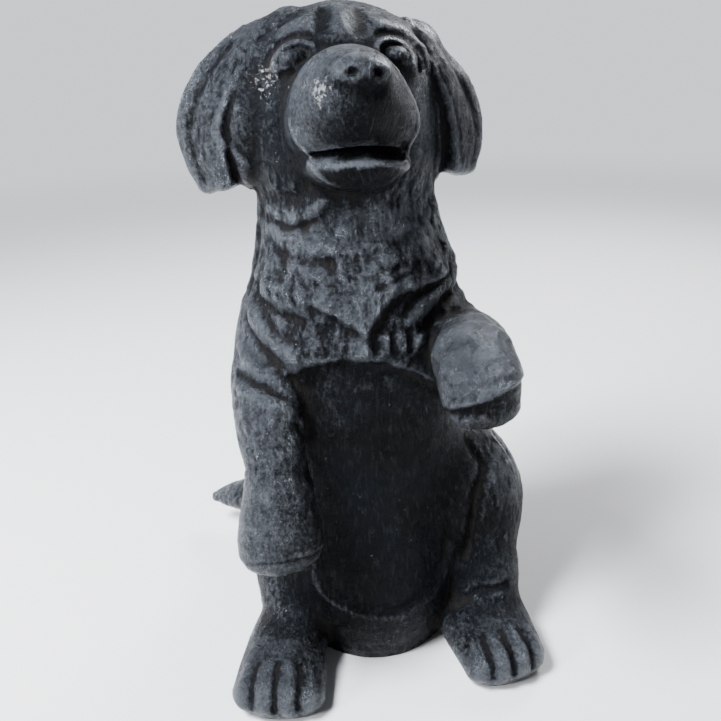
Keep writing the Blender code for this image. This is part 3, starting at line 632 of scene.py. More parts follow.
    def face(self, d: Array, q: Array) -> Array:
        """Distances with eyes, jaw, mouth, nose and the face's lines, in the head's frame."""
        for eye in self.eyes:
            d = eye.join(d, q)
        d = smooth_min(d, self.jaw.distance(q), self.jaw_fillet)
        d = smooth_max(d, -self.mouth.distance(q), self.lip_edge)
        d = smooth_min(d, self.nose.distance(q), self.nose_fillet)
        for line in (*self.eyes[0].lines(), *self.eyes[1].lines()):
            d = line.carve(d, q)
        for place in self.nostrils:
            d = smooth_max(d, -Ball(place, self.nostril).distance(q), self.nostril_edge)
        return d


@dataclass(frozen=True)
class Ear:
    """Hanging ear: the flap, and the mass that joins it to the head. side is 1 for the dog's left.

    Each fold is its height, half width, place across the flap (-1 at the front edge) and step inward.
    out, height and reach bound the ear, and power makes the flap's edge square.
    """

    side: int
    rows: tuple[Row, ...]
    root: Tube
    swing: float = 45
    folds: tuple[Row, ...] = ((0.35, 0.5, -0.9, -1.2), (-0.45, 0.6, -0.9, 1.5), (0.4, 0.6, -0.9, 2.9),
                              (-0.3, 0.8, 0.3, -1.4))
    out: float = 17
    height: float = 87
    reach: float = 20
    cap: float = 1.0
    power: float = 3.5
    root_fillet: float = 0.8
    fillet: float = 1.6

    def join(self, d: Array, p: Array) -> Array:
        """Distances with the ear joined on."""
        return blend_in(d, p, (self.side * self.out, 0, self.height), self.reach, self.distance, self.fillet)

    def distance(self, p: Array) -> Array:
        """Distances to the flap and its root."""
        swing = np.radians(self.swing)
        flap = Sweep(self.rows, (self.side * np.cos(swing), np.sin(swing), 0), self.cap, power=self.power)
        return smooth_min(flap.distance(p), self.root.distance(p), self.root_fillet)

    def lines(self) -> list[Line]:
        """Rolled front edge, hollow beside the cheek and fold, each down the flap's stations."""
        swing = np.radians(self.swing)
        across = np.array([self.side * np.cos(swing), np.sin(swing), 0])
        inward = np.array([-self.side * np.cos(swing), np.sin(swing), 0])
        return [Line(height, tuple((*(np.array(row[:3]) + across * place * row[3] + inward * step), width)
                                   for row in self.rows[1:]))
                for height, width, place, step in self.folds]


EARS = (
    Ear(1, ((6.0, -0.8, 94.8, 2.8, 2.1), (11.0, -1.0, 92.6, 3.5, 1.8), (15.2, -1.0, 88.6, 4.6, 1.6),
            (17.5, -0.6, 84.0, 5.0, 1.7), (17.8, -1.0, 80.2, 4.6, 1.9), (17.4, -1.2, 77.6, 3.6, 2.0)),
        Tube(((10.0, 0.3, 92.0, 5.0), (12.6, -0.2, 86.0, 5.0), (13.6, -0.2, 80.0, 4.2)))),
    Ear(-1, ((-7.0, -0.8, 96.4, 2.8, 2.1), (-12.8, -1.0, 93.9, 3.5, 1.8), (-17.2, -1.0, 89.3, 4.6, 1.6),
             (-19.5, -0.6, 84.2, 5.0, 1.7), (-19.2, -1.0, 80.2, 4.6, 1.9), (-18.5, -1.2, 77.2, 3.6, 2.0)),
        Tube(((-10.0, -0.4, 92.0, 5.0), (-12.8, -1.2, 86.0, 5.0), (-14.2, -1.0, 80.0, 4.2)))))


@dataclass(frozen=True)
class ChestFur:
    """Fur of the chest: the ledge over the belly, the pointed bib above it and the rolls round them.

    bib_right and bib_left are how tall and how wide the bib's edge rises on either side of its point. edges
    are the softness of both layers' lower edges, ledge_out and bib_out the height where each fades out
    upward and how softly, and front the depth where both fade out and how softly. The layers lie between
    bottom and top and in front of behind. fans are rows of first angle, last angle, strokes, top and foot
    height, lean in degrees, depth and half width. lock_rows are height, locks round the neck, length and
    depth, lock_free how far off the front locks begin, lock_step how far a groove lies beside its ridge, in
    degrees, and lock_jitter the most that a lock is shifted round, shifted up and leant.
    """

    ledge_top: Pair = (-2.5, 52.8)
    ledge_fall: float = 0.035
    bib_point: Pair = (0.1, 56.4)
    bib_right: Pair = (7.0, 9.0)
    bib_left: Pair = (6.0, 3.6)
    thickness: Pair = (1.2, 0.8)
    edges: Pair = (0.5, 0.4)
    ledge_out: Pair = (66, 5)
    bib_out: Pair = (67, 3)
    front: Pair = (4.0, 3.0)
    bottom: float = 30
    top: float = 74
    behind: float = 2
    rolls: tuple[Roll, ...] = (
        # right of the neck: two bright folds with a crack under each, and pits
        Roll(0.7, ((-57, 73.2, 1.2), (-42, 72.6, 1.4), (-28, 73.6, 1.2), (-21, 74.7, 0.9))),
        Roll(-0.4, ((-52, 71.6, 0.5), (-44, 70.9, 0.5), (-36, 71.4, 0.4), (-26, 72.2, 0.5))),
        Roll(0.7, ((-59, 70.6, 1.0), (-41, 69.4, 1.3), (-26, 68.9, 1.4), (-18, 67.9, 1.0))),
        Roll(-0.4, ((-50, 67.6, 0.6), (-32, 66.4, 0.7), (-17, 66.2, 0.6))),
        Roll(-0.5, ((-45, 69.3, 0.35), (-39, 68.9, 0.4), (-34, 69.6, 0.3))),
        # middle of the neck: two thin ledges and a knob over its hollow
        Roll(0.25, ((-12, 67.8, 0.3), (-1, 67.8, 0.3))),
        Roll(0.25, ((3, 68.5, 0.3), (14, 68.3, 0.3))),
        Roll(0.6, ((12, 66.6, 1.1), (16, 66.4, 1.1))),
        Roll(-0.5, ((10, 65.0, 0.5), (14, 64.5, 0.6), (18, 65.0, 0.5))),
        Roll(-0.4, ((5, 62.4, 0.4), (13, 62.9, 0.45), (22, 63.8, 0.3))),
        # beside the bib, and the roll over the right shoulder
        Roll(0.8, ((-57, 62.6, 1.1), (-45, 61.2, 1.4), (-31, 60.8, 1.2))),
        Roll(-0.45, ((-60, 60.4, 0.7), (-47, 58.9, 0.7), (-32, 58.4, 0.6))),
        Roll(1.0, ((-65, 57.8, 1.3), (-57, 55.6, 1.6), (-47, 53.7, 1.6), (-38, 52.8, 1.2))),
        Roll(-0.4, ((-56, 58.2, 0.7), (-46, 56.2, 0.8), (-37, 55.2, 0.7))),
        Roll(-0.6, ((-73, 56.4, 0.7), (-62, 54.0, 0.8), (-51, 51.8, 0.8))),
        # left shoulder: two long lobes thrown down towards the raised foreleg
        Roll(-0.5, ((57, 62.8, 0.7), (38, 62.0, 0.7), (27, 60.8, 0.7), (17, 58.8, 0.6))),
        Roll(0.65, ((63, 61.8, 1.0), (48, 61.0, 1.3), (34, 59.8, 1.3), (22, 57.6, 0.9))),
        Roll(-0.65, ((68, 59.4, 0.8), (50, 59.0, 0.8), (39, 58.0, 0.8), (27, 56.2, 0.7))),
        Roll(0.55, ((69, 57.4, 1.1), (50, 57.2, 1.2), (36, 55.8, 0.9))),
        # lobes over the belly
        Roll(0.5, ((-5, 55.6, 1.2), (-4, 54.0, 1.4))),
        Roll(-0.4, ((1, 56.0, 0.4), (2, 53.8, 0.5))),
        Roll(0.4, ((7, 55.6, 0.9), (7, 54.0, 1.0))),
        Roll(-0.4, ((11, 56.2, 0.4), (11, 53.8, 0.5))),
        Roll(0.4, ((15, 55.8, 0.8), (15, 54.0, 0.9))),
        Roll(-0.4, ((19, 56.4, 0.4), (19, 53.6, 0.5))),
        Roll(0.6, ((24, 56.2, 1.2), (24, 54.4, 1.3))))
    belly: tuple[Roll, ...] = (
        Roll(0.3, ((-36, 20, 0.5), (-33, 14, 0.5), (-19, 10.8, 0.5), (4, 9.6, 0.5), (28, 11.1, 0.5),
                   (38, 16.2, 0.5), (41, 21, 0.5))),
        Roll(-0.3, ((-33, 20, 0.8), (-30, 15, 0.8), (-18, 12.3, 0.8), (4, 11.1, 0.8), (25, 12.6, 0.8),
                    (35, 17, 0.8), (38, 21, 0.8))))
    fans: tuple[Row, ...] = (
        (-40, -8, 9, 57.8, 53.6, -6, -0.3, 0.4), (7, 17, 4, 61.2, 57.0, -5, -0.35, 0.4),
        (24, 42, 7, 75.0, 70.0, 12, -0.18, 0.3), (-78, -64, 4, 76.0, 70.0, 8, -0.2, 0.35))
    lock_rows: tuple[Row, ...] = ((74.0, 11, 4.6, 0.3), (69.5, 12, 5.0, 0.32), (65.0, 13, 5.4, 0.34))
    lock_free: float = 68.0
    lock_step: float = 9
    lock_jitter: tuple[float, float, float] = (0.3, 1.0, 14)
    lock_shares: Row = (0, 0.35, 0.7, 1.0)
    seed: int = 7

    def ledge(self, x: Array) -> Array:
        """Height of the lower layer's edge: its top less fall·(x - middle)²."""
        return self.ledge_top[1] - self.ledge_fall * (x - self.ledge_top[0]) ** 2

    def layer(self, d: Array, p: Array) -> Array:
        """Distances with both layers raised: each thickness times a smooth step up over its lower edge."""
        near = (p[:, 2] > self.bottom) & (p[:, 2] < self.top) & (p[:, 1] < self.behind)
        if near.any():
            x, y, z = p[near].T
            dx = x - self.bib_point[0]
            tall, spread = (np.where(dx < 0, right, left)
                            for right, left in zip(self.bib_right, self.bib_left))
            bib = self.bib_point[1] + tall * np.tanh(np.abs(dx) / spread)
            ledge_up, bib_up = (rise(limit - z, soft) for limit, soft in (self.ledge_out, self.bib_out))
            layers = (self.thickness[0] * rise(z - self.ledge(x), self.edges[0]) * ledge_up
                      + self.thickness[1] * rise(z - bib, self.edges[1]) * bib_up)
            d[near] -= layers * rise(-y - self.front[0], self.front[1])
        return d

    def lines(self, torso: Torso) -> list[Line]:
        """Rolls, fans of strokes and locks, laid on the torso's skin."""
        return [roll.line(torso) for roll in (*self.rolls, *self.belly, *self.strokes(), *self.locks())]

    def strokes(self) -> list[Roll]:
        """Strokes side by side, from a top to a foot that leans to one side."""
        return [Roll(height, ((angle, top, width), (angle + lean / 2, (top + foot) / 2, width),
                              (angle + lean, foot, width)))
                for first, last, count, top, foot, lean, height, width in self.fans
                for angle in np.linspace(first, last, count)]

    def locks(self) -> list[Roll]:
        """Curved locks round the neck's sides and back, each a ridge beside a groove, a bit out of line.

        Half width from the root to the tip: 0.5 + 0.9·s·(1.3 - s), with s from 0 to 1.
        """
        rng = np.random.default_rng(self.seed)
        most_round, most_up, most_lean = self.lock_jitter
        locks = []
        for z, count, length, depth in self.lock_rows:
            for i in range(count):
                angle = 360 * (i + rng.uniform(-most_round, most_round)) / count
                top = z + rng.uniform(-most_up, most_up)
                lean = rng.uniform(-most_lean, most_lean)
                if self.lock_free < angle < 360 - self.lock_free:
                    for shift, height in ((0, depth), (self.lock_step, -depth)):
                        rows = tuple((angle + shift + lean * s, top - length * s, 0.5 + 0.9 * s * (1.3 - s))
                                     for s in self.lock_shares)
                        locks.append(Roll(height, rows))
        return locks


CREASES = (
    # right arm: the roll over it, the crack under the shoulder and the roll below
    Line(0.6, ((-18.4, -7.6, 53.6, 0.9), (-17.2, -10.0, 52.0, 0.9), (-14.8, -12.4, 50.6, 0.8))),
    Line(-0.8, ((-18.9, -10.0, 50.0, 0.7), (-16.0, -13.0, 49.6, 0.8), (-12.6, -14.8, 47.6, 0.7))),
    Line(0.5, ((-18.6, -12.4, 48.4, 0.8), (-15.5, -15.2, 48.0, 0.9), (-12.0, -16.2, 46.4, 0.8),
               (-10.0, -16.0, 43.6, 0.7))),
    # left haunch against the belly, and over its foot
    Line(-0.9, ((19.5, -9.0, 33.0, 0.8), (20.4, -10.6, 28.8, 0.9), (18.0, -14.7, 25.1, 0.9),
                (17.0, -16.4, 21.6, 0.8), (15.6, -18.0, 16.0, 0.7))),
    Line(-0.6, ((13.3, -20.1, 7.6, 0.7), (16.7, -20.5, 10.5, 0.8), (22.2, -20.2, 10.7, 0.8))))


class Statue:
    """The whole statue as one distance, made of its sub-assemblies."""

    LAY_REACH = 0.3          # how far round a line's point the form is probed to lay it on
    LAY_ROUNDS = 3
    BELOW = 2.5              # depth below the ground where the form ends, before the cut at the ground

    def __init__(self) -> None:
        """Gathers the sub-assemblies and the lines carved over them."""
        self.torso = Torso()
        self.fur = ChestFur()
        self.head = Head()
        self.legs = (LEFT_LEG, RIGHT_LEG)
        self.forelegs = (RAISED, HANGING)
        lines = [*self.fur.lines(self.torso), *self.head.outlines(), *CREASES]
        for part in (*EARS, LEFT_LEG.foot, RIGHT_LEG.foot, HANGING.paw):
            lines += part.lines()
        self.lines = [self.laid(line) for line in lines]

    def laid(self, line: Line) -> Line:
        """The line with its points moved onto the plain form along the form's slope."""
        rows = np.array(line.rows, float)
        rows[:, :3] = settled(self.plain, rows[:, :3], self.LAY_REACH, self.LAY_ROUNDS)
        return Line(line.height, tuple(map(tuple, rows)), line.rubbed_and_lit)

    def distance(self, p: Array) -> Array:
        """Distances from points in form units, below zero inside."""
        d = self.plain(p)
        for line in self.lines:
            d = line.carve(d, p)
        return np.maximum(d, -p[:, 2] - self.BELOW)

    def plain(self, p: Array) -> Array:
        """Distances without the lines that are carved over the sub-assemblies."""
        d = self.fur.layer(self.torso.skin.distance(p), p)
        for limb in self.legs:
            d = limb.join(d, p)
        d = TAIL.join(d, p)
        for limb in self.forelegs:
            d = limb.join(d, p)
        d = self.head.join(d, p)
        for ear in EARS:
            d = ear.join(d, p)
        return SOLE.cut(d, p)


class Skin:
    """Closed quad mesh on the zero of a distance, one vertex in each grid cube that the skin crosses."""

    CORNERS = np.array(list(product((0, 1), repeat=3)))
    BLOCK = 4                # grid cubes along a block, which is sampled finely only near the skin
    NEAR = 1.7               # how near, in blocks
    BATCH = 200000           # most points sampled at once
    FILLING = -0.05          # distance given to a filled grid point, in grid steps
    PROBE = 0.3              # how far round a vertex the form is probed to settle it, in grid steps

    def __init__(self, distance: Distance, step: float,
                 low: Row = (-32.0, -36.0, -6.0), high: Row = (32.0, 27.0, 103.0)) -> None:
        """Samples the distance and joins the skin.

        Args:
            distance: The form.
            step: Side of a grid cube.
            low: Lowest corner of the grid.
            high: Highest corner.
        """
        self.distance = distance
        self.step = step
        values, first = self.sample(np.array(low), np.array(high))
        self.vertices, self.quads = self.join(self.untangle(values), first)

    def sample(self, low: Array, high: Array) -> tuple[Array, Array]:
        """Distances on the grid, worked out cube by cube only near the skin, and the first point."""
        block = self.step * self.BLOCK
        count = np.ceil((high - low) / block).astype(int)
        axes = [low[i] + block * (np.arange(count[i]) + 0.5) for i in range(3)]
        coarse = self.distance(np.stack(np.meshgrid(*axes, indexing="ij"), -1).reshape(-1, 3)).reshape(count)
        values = coarse.repeat(self.BLOCK, 0).repeat(self.BLOCK, 1).repeat(self.BLOCK, 2)
        inner = np.stack(np.meshgrid(*[np.arange(self.BLOCK)] * 3, indexing="ij"), -1).reshape(-1, 3)
        blocks = np.argwhere(np.abs(coarse) < block * self.NEAR)
        cells = (blocks[:, None, :] * self.BLOCK + inner).reshape(-1, 3)
        points = low + self.step * (cells + 0.5)
        values[tuple(cells.T)] = np.concatenate(
            [self.distance(c) for c in np.array_split(points, len(points) // self.BATCH + 1)])
        return values, low + 0.5 * self.step

    @staticmethod
    def parted(corners: list[Row]) -> bool:
        """Whether cube corners fall in two or more groups with no cube edge between them."""
        if not corners:
            return False
        group = [corners[0]]
        for a in group:
            group += [b for b in corners if b not in group and sum(abs(i - j) for i, j in zip(a, b)) == 1]
        return len(group) < len(corners)

    def cases(self, inside: Array) -> Array:
        """The pattern of inside corners of each cube, as a number from 0 to 255."""
        size = np.array(inside.shape) - 1
        return sum(inside[i:i + size[0], j:j + size[1], k:k + size[2]].astype(np.int32) << n
                   for n, (i, j, k) in enumerate(self.CORNERS))

    def untangle(self, values: Array) -> Array:
        """Fills single grid points until no cube holds two separate pieces of metal or of air."""
        names = [tuple(c) for c in self.CORNERS]
        bad = np.array([any(self.parted([c for n, c in enumerate(names) if (case >> n & 1) == state])
                            for state in (0, 1)) for case in range(256)])
        cubes = np.argwhere(bad[self.cases(values < 0)])
        while len(cubes):
            around = np.stack([values[tuple((cubes + c).T)] for c in self.CORNERS], 1)
            pick = cubes + self.CORNERS[np.where(around < 0, np.inf, around).argmin(1)]
            values[tuple(pick.T)] = self.FILLING * self.step
            cubes = np.argwhere(bad[self.cases(values < 0)])
        return values

    def join(self, values: Array, first: Array) -> tuple[Array, Array]:
        """Vertices at the mean of each cube's edge crossings, and a quad round each crossed grid edge."""
        inside = values < 0
        case = self.cases(inside)
        cubes = np.argwhere((case > 0) & (case < 255))
        number = np.full(case.shape, -1)
        number[tuple(cubes.T)] = np.arange(len(cubes))
        total = np.zeros((len(cubes), 3))
        crossings = np.zeros(len(cubes))
        for a in self.CORNERS:
            for axis in np.flatnonzero(a == 0):
                along = np.eye(3, dtype=int)[axis]
                va = values[tuple((cubes + a).T)]
                vb = values[tuple((cubes + a + along).T)]
                hit = (va < 0) != (vb < 0)
                t = np.where(hit, va / np.where(hit, va - vb, 1), 0)
                total += np.where(hit[:, None], a + t[:, None] * along, 0)
                crossings += hit
        quads = []
        for axis in range(3):
            u, v = (axis + 1) % 3, (axis + 2) % 3
            ahead = np.roll(inside, -1, axis)
            ahead.swapaxes(0, axis)[-1] = inside.swapaxes(0, axis)[-1]
            edges = np.argwhere(inside != ahead)
            edges = edges[(edges[:, u] > 0) & (edges[:, v] > 0)]
            ring = []
            for du, dv in ((-1, -1), (0, -1), (0, 0), (-1, 0)):
                cube = edges.copy()
                cube[:, u] += du
                cube[:, v] += dv
                ring.append(number[tuple(cube.T)])
            ring = np.stack(ring, 1)
            outward = inside[tuple(edges.T)]
            ring[~outward] = ring[~outward][:, ::-1]
            quads.append(ring)
        return first + self.step * (cubes + total / crossings[:, None]), np.concatenate(quads)

    def settle(self) -> None:
        """Moves each vertex onto the skin, by no more than a grid step."""
        self.vertices = settled(self.distance, self.vertices, self.step * self.PROBE, limit=self.step)

    def normals(self) -> Array:
        """Unit normals: the sum of the cross products of the quads' diagonals round each vertex."""
        a, b, c, d = (self.vertices[self.quads[:, i]] for i in range(4))
        face = np.cross(c - a, d - b)
        return unit(np.stack([np.bincount(self.quads.ravel(), np.repeat(face[:, i], 4), len(self.vertices))
                              for i in range(3)], 1))

    def smoothed(self, values: Array, rounds: int) -> Array:
        """Values averaged again and again with those at the ends of the quads' sides."""
        ends = np.concatenate([self.quads, np.roll(self.quads, -1, 1)]).ravel()
        others = np.concatenate([np.roll(self.quads, -1, 1), self.quads]).ravel()
        count = np.bincount(ends, minlength=len(self.vertices))[:, None]
        for _ in range(rounds):
            total = np.stack([np.bincount(ends, column[others], len(count)) for column in values.T], 1)
            values = 0.5 * values + 0.5 * total / count
        return values


class Fur(Enum):
    """How a place of the skin is carved."""

    BARE = 0
    SLEEK = 1
    SHORT = 2
    ROUGH = 3


@dataclass(frozen=True)
class Tuft:
    """Size of the small locks in one kind of fur: spacing, half length, half width and height."""

    spacing: float
    length: float
    width: float
    height: float


@dataclass(frozen=True)
class Coat:
    """Fur carved into the skin: small locks laid along the flow of the hair, some raised and some sunk.

    sunk is the share of sunk locks, jitter how far the flow strays, sizes the least and the most share of a
    lock's size, bend its most curve and reach how far it is worked out, in lengths. A lock rises over root
    half lengths and drops over tip of one. A limb's fur lies within on_limb or on_leg of it, and the other
    limits are heights and depths of the statue or places in the head's frame.
    """

    tufts: tuple[tuple[Fur, Tuft], ...] = (
        (Fur.ROUGH, Tuft(3.4, 3.6, 1.7, 0.2)), (Fur.ROUGH, Tuft(1.3, 2.3, 0.42, 0.08)),
        (Fur.SHORT, Tuft(3.8, 3.2, 1.8, 0.12)), (Fur.SHORT, Tuft(1.2, 1.8, 0.42, 0.06)),
        (Fur.SLEEK, Tuft(3.8, 3.0, 1.8, 0.06)), (Fur.SLEEK, Tuft(1.4, 1.7, 0.42, 0.045)))
    sunk: float = 0.45
    jitter: float = 0.35
    sizes: Pair = (0.65, 1.35)
    bend: float = 0.5
    reach: float = 1.4
    root: float = 1.5
    tip: float = 0.35
    seed: int = 11
    on_limb: float = 0.8
    on_leg: float = 0.6
    sole: float = 0.8
    rough_top: float = 77
    rough_front: float = -4
    head_from: float = 76
    head_low: float = -13
    face_front: float = 10
    face_low: float = -17
    belly_front: float = 1
    back_from: float = 80
    ears_out: float = 13
    back_flow: Row = (0, 0.9, -0.45)
    haunch_flow: Row = (0, -0.75, -0.65)

    def kinds(self, statue: Statue, p: Array) -> Array:
        """The kind of fur at each point, by the sub-assembly that it lies on."""
        x, y, z = p.T
        kind = np.full(len(p), Fur.SHORT.value)
        bib = z >= statue.fur.ledge(x)
        kind[(y < self.belly_front) & ~bib] = Fur.SLEEK.value
        kind[bib & (z < self.rough_top) & (y < self.rough_front)] = Fur.ROUGH.value
        for limb in statue.forelegs:
            kind[limb.distance(p) < self.on_limb] = Fur.SHORT.value
            kind[limb.paw.skin.distance(p) < self.on_limb] = Fur.SLEEK.value
        for limb in statue.legs:
            kind[limb.haunch.distance(p) < self.on_leg] = Fur.SHORT.value
            kind[limb.foot.skin.distance(p) < self.on_leg] = Fur.SLEEK.value
        q = statue.head.local(p)
        kind[(q[:, 2] > self.head_low) & (z > self.head_from)] = Fur.SLEEK.value
        kind[(q[:, 1] > self.face_front) & (q[:, 2] > self.face_low)] = Fur.BARE.value
        kind[z < self.sole] = Fur.BARE.value
        return kind

    def flow(self, statue: Statue, p: Array) -> Array:
        """Direction of the hair at each point: down the body, along the limbs and back over the head.

        In front it leans toward the middle by 0.3·tanh((x - 1) / 6).
        """
        x, y, z = p.T
        flow = np.stack([-0.3 * np.tanh((x - 1) / 6) * (y < 0), 0 * x, -1 + 0 * x], 1)
        for limb in statue.forelegs:
            near = limb.distance(p) < self.on_limb
            flow[near] = limb.arm.along(p[near])
        for limb in statue.legs:
            flow[limb.haunch.distance(p) < self.on_leg] = self.haunch_flow
            near = limb.foot.skin.distance(p) < self.on_leg
            flow[near] = limb.foot.skin.along(p[near])
        flow[z > self.back_from] = self.back_flow
        flow[(z > self.head_from) & (np.abs(x) > self.ears_out)] = (0, 0, -1)
        return flow

    def carve(self, statue: Statue, skin: Skin) -> None:
        """Moves the skin's vertices along their normals by the sum of the locks.

        A lock lies round its middle with s along it and v across it, both -1 to 1. It stands out by
        height·(1 - v²)²·rise·fall, with rise (s + 1) / root and fall (1 - s) / tip, both from 0 to 1.
        """
        rng = np.random.default_rng(self.seed)
        p, normal = skin.vertices, skin.normals()
        kind = self.kinds(statue, p)
        relief = np.zeros(len(p))
        for fur, tuft in self.tufts:
            order = rng.permutation(np.flatnonzero(kind == fur.value))
            cell = np.floor(p[order] / tuft.spacing).astype(int)
            middles = order[np.unique(cell @ Neighbours.STRIDE, return_index=True)[1]]
            out = normal[middles]
            flow = self.flow(statue, p[middles]) + rng.normal(0, self.jitter, (len(middles), 3))
            along = unit(flow - (flow * out).sum(1)[:, None] * out)
            across = np.cross(out, along)
            size = rng.uniform(*self.sizes, (len(middles), 3))
            sign = np.where(rng.random(len(middles)) < self.sunk, -1.0, 1.0)
            bend = rng.uniform(-self.bend, self.bend, len(middles))
            near = Neighbours(p, tuft.length * self.reach)
            for i, middle in enumerate(middles):
                hit = near.of(p[middle])
                o = p[hit] - p[middle]
                s = o @ along[i] / (tuft.length * size[i, 0])
                v = o @ across[i] / (tuft.width * size[i, 1]) + bend[i] * s * s
                lift = np.clip((s + 1) / self.root, 0, 1) * np.clip((1 - s) / self.tip, 0, 1)
                lift = lift * np.clip(1 - v * v, 0, 1) ** 2
                facing = np.clip(normal[hit] @ out[i], 0, 1)
                relief[hit] += sign[i] * tuft.height * size[i, 2] * lift * facing
        skin.vertices = p + normal * relief[:, None]


class Neighbours:
    """Points sorted into cubes, to find those round a place."""

    STRIDE = np.array((1, 1000, 1000000))

    def __init__(self, p: Array, reach: float) -> None:
        """Sorts the points into cubes with sides of the reach."""
        self.p, self.reach = p, reach
        self.shift = p.min(0) - 2 * reach
        key = self.key(p)
        self.order = np.argsort(key)
        self.sorted = key[self.order]
        self.steps = np.array(list(product((-1, 0, 1), repeat=3))) @ self.STRIDE

    def key(self, p: Array) -> Array:
        """Number of the cube that a point lies in."""
        return np.floor((p - self.shift) / self.reach).astype(int) @ self.STRIDE

    def of(self, place: Array) -> Array:
        """Points within the reach of a place."""
        keys = self.key(place) + self.steps
        first, last = np.searchsorted(self.sorted, keys), np.searchsorted(self.sorted, keys, "right")
        found = np.concatenate([self.order[a:b] for a, b in zip(first, last) if b > a])
        return found[((self.p[found] - place) ** 2).sum(1) < self.reach ** 2]


@dataclass(frozen=True)
class WearAndPaintedLight:
    """Where the metal is rubbed bright or painted lit, where painted shade darkens it, and where pale dirt
    sits: rows of x, y, z, radius and strength.

    fine and broad are how far the skin is smoothed, each with the height that counts as 1 against it.
    """

    level: float = 0.13
    rubbed_and_lit: tuple[Row, ...] = (
        # handled and weathered parts, and painted highlights where the light falls: the lower lip's ledge,
        # glints in the eyes, the face, neck and shoulders
        (13.6, -28.0, 56.0, 5.0, 0.4), (-15.0, -21.0, 32.0, 9.0, 0.25), (-15.0, -13.0, 46.0, 7.0, 0.4),
        (-21.0, -3.0, 86.0, 8.0, 0.15), (-7.0, -11.0, 89.0, 4.0, 0.2), (-3.0, -19.0, 92.0, 5.0, 0.35),
        (9.0, -10.0, 86.0, 4.0, 0.5), (9.0, -8.0, 72.0, 6.0, 0.5), (1.0, -12.0, 72.0, 4.0, 0.35),
        (-15.0, -9.0, 55.0, 5.0, 0.5), (-9.0, -10.0, 70.0, 6.0, 0.35), (-2.0, -17.0, 60.0, 5.0, 0.3),
        (-15.6, -26.0, 6.0, 7.0, 0.1), (19.0, -26.0, 6.0, 7.0, 0.1), (27.0, -6.0, 24.0, 5.0, 0.3),
        (0.0, -20.8, 82.2, 1.2, 0.9), (-6.7, -12.6, 93.0, 1.2, 0.7), (5.7, -12.9, 92.9, 1.2, 0.6),
        (-4.0, -19.8, 82.3, 1.2, 0.9), (4.0, -19.8, 81.9, 1.2, 0.9), (5.0, -12.0, 67.0, 7.0, 0.2),
        # painted shade: belly, chin, under the upper lip, eye sockets, cheeks beside the muzzle, nose, thigh
        # creases and under the raised paw
        (1.0, -22.0, 36.0, 13.0, -0.6), (1.0, -23.0, 18.0, 13.0, -0.6), (-3.0, -19.6, 80.6, 2.6, -0.9),
        (3.0, -19.6, 80.4, 2.6, -0.9), (0.0, -18.0, 78.6, 4.0, -0.9),
        (-7.2, -11.6, 93.0, 2.9, -0.8), (6.1, -12.0, 92.9, 2.9, -0.7),
        (-8.0, -6.0, 84.0, 4.0, -0.4), (16.0, -12.0, 14.0, 7.0, -0.3),
        (0.0, -22.0, 86.5, 5.0, -0.7), (-7.0, -10.0, 80.0, 5.0, -0.4), (17.0, -17.0, 20.0, 7.0, -0.4),
        (0.0, -24.0, 91.0, 2.5, -0.4), (13.6, -30.0, 48.0, 3.6, -0.7))
    chalky: tuple[Row, ...] = ((-11.4, -8.2, 90.8, 3.2, 1.0), (-5.0, -21.6, 89.5, 2.0, 1.0))
    fine: Pair = (1.8, 0.12)
    broad: Pair = (22.0, 0.6)

    @staticmethod
    def spots(p: Array, rows: tuple[Row, ...]) -> Array:
        """Sum of strength·exp(-(distance / radius)²) over the spots, at each point."""
        return sum(row[4] * np.exp(-((p - np.array(row[:3])) ** 2).sum(1) / row[3] ** 2) for row in rows)

    @staticmethod
    def raised(skin: Skin, reach: float, size: float) -> Array:
        """How far each vertex stands out of the smoothed skin, along its normal, over a size."""
        rounds = round(reach / skin.step ** 2)
        return ((skin.vertices - skin.smoothed(skin.vertices, rounds)) * skin.normals()).sum(1) / size

    def shine(self, p: Array, lines: list[Line]) -> Array:
        """How bright each point is painted, by rubbed wear, painted highlights and painted shade: the level,
        the spots and the lines' painted highlights.
        """
        shine = self.level + self.spots(p, self.rubbed_and_lit)
        for line in lines:
            if line.rubbed_and_lit:
                near, share = line.share(p)
                shine[near] += line.rubbed_and_lit * share
        return shine

    def marks(self, skin: Skin, lines: list[Line]) -> dict[str, Array]:
        """The skin's attributes by name."""
        return {"edge": self.raised(skin, *self.fine), "swell": self.raised(skin, *self.broad),
                # the rubbed mark holds rubbed wear together with painted highlights and painted shade
                "rubbed_and_lit": self.shine(skin.vertices, lines),
                "chalky": self.spots(skin.vertices, self.chalky)}


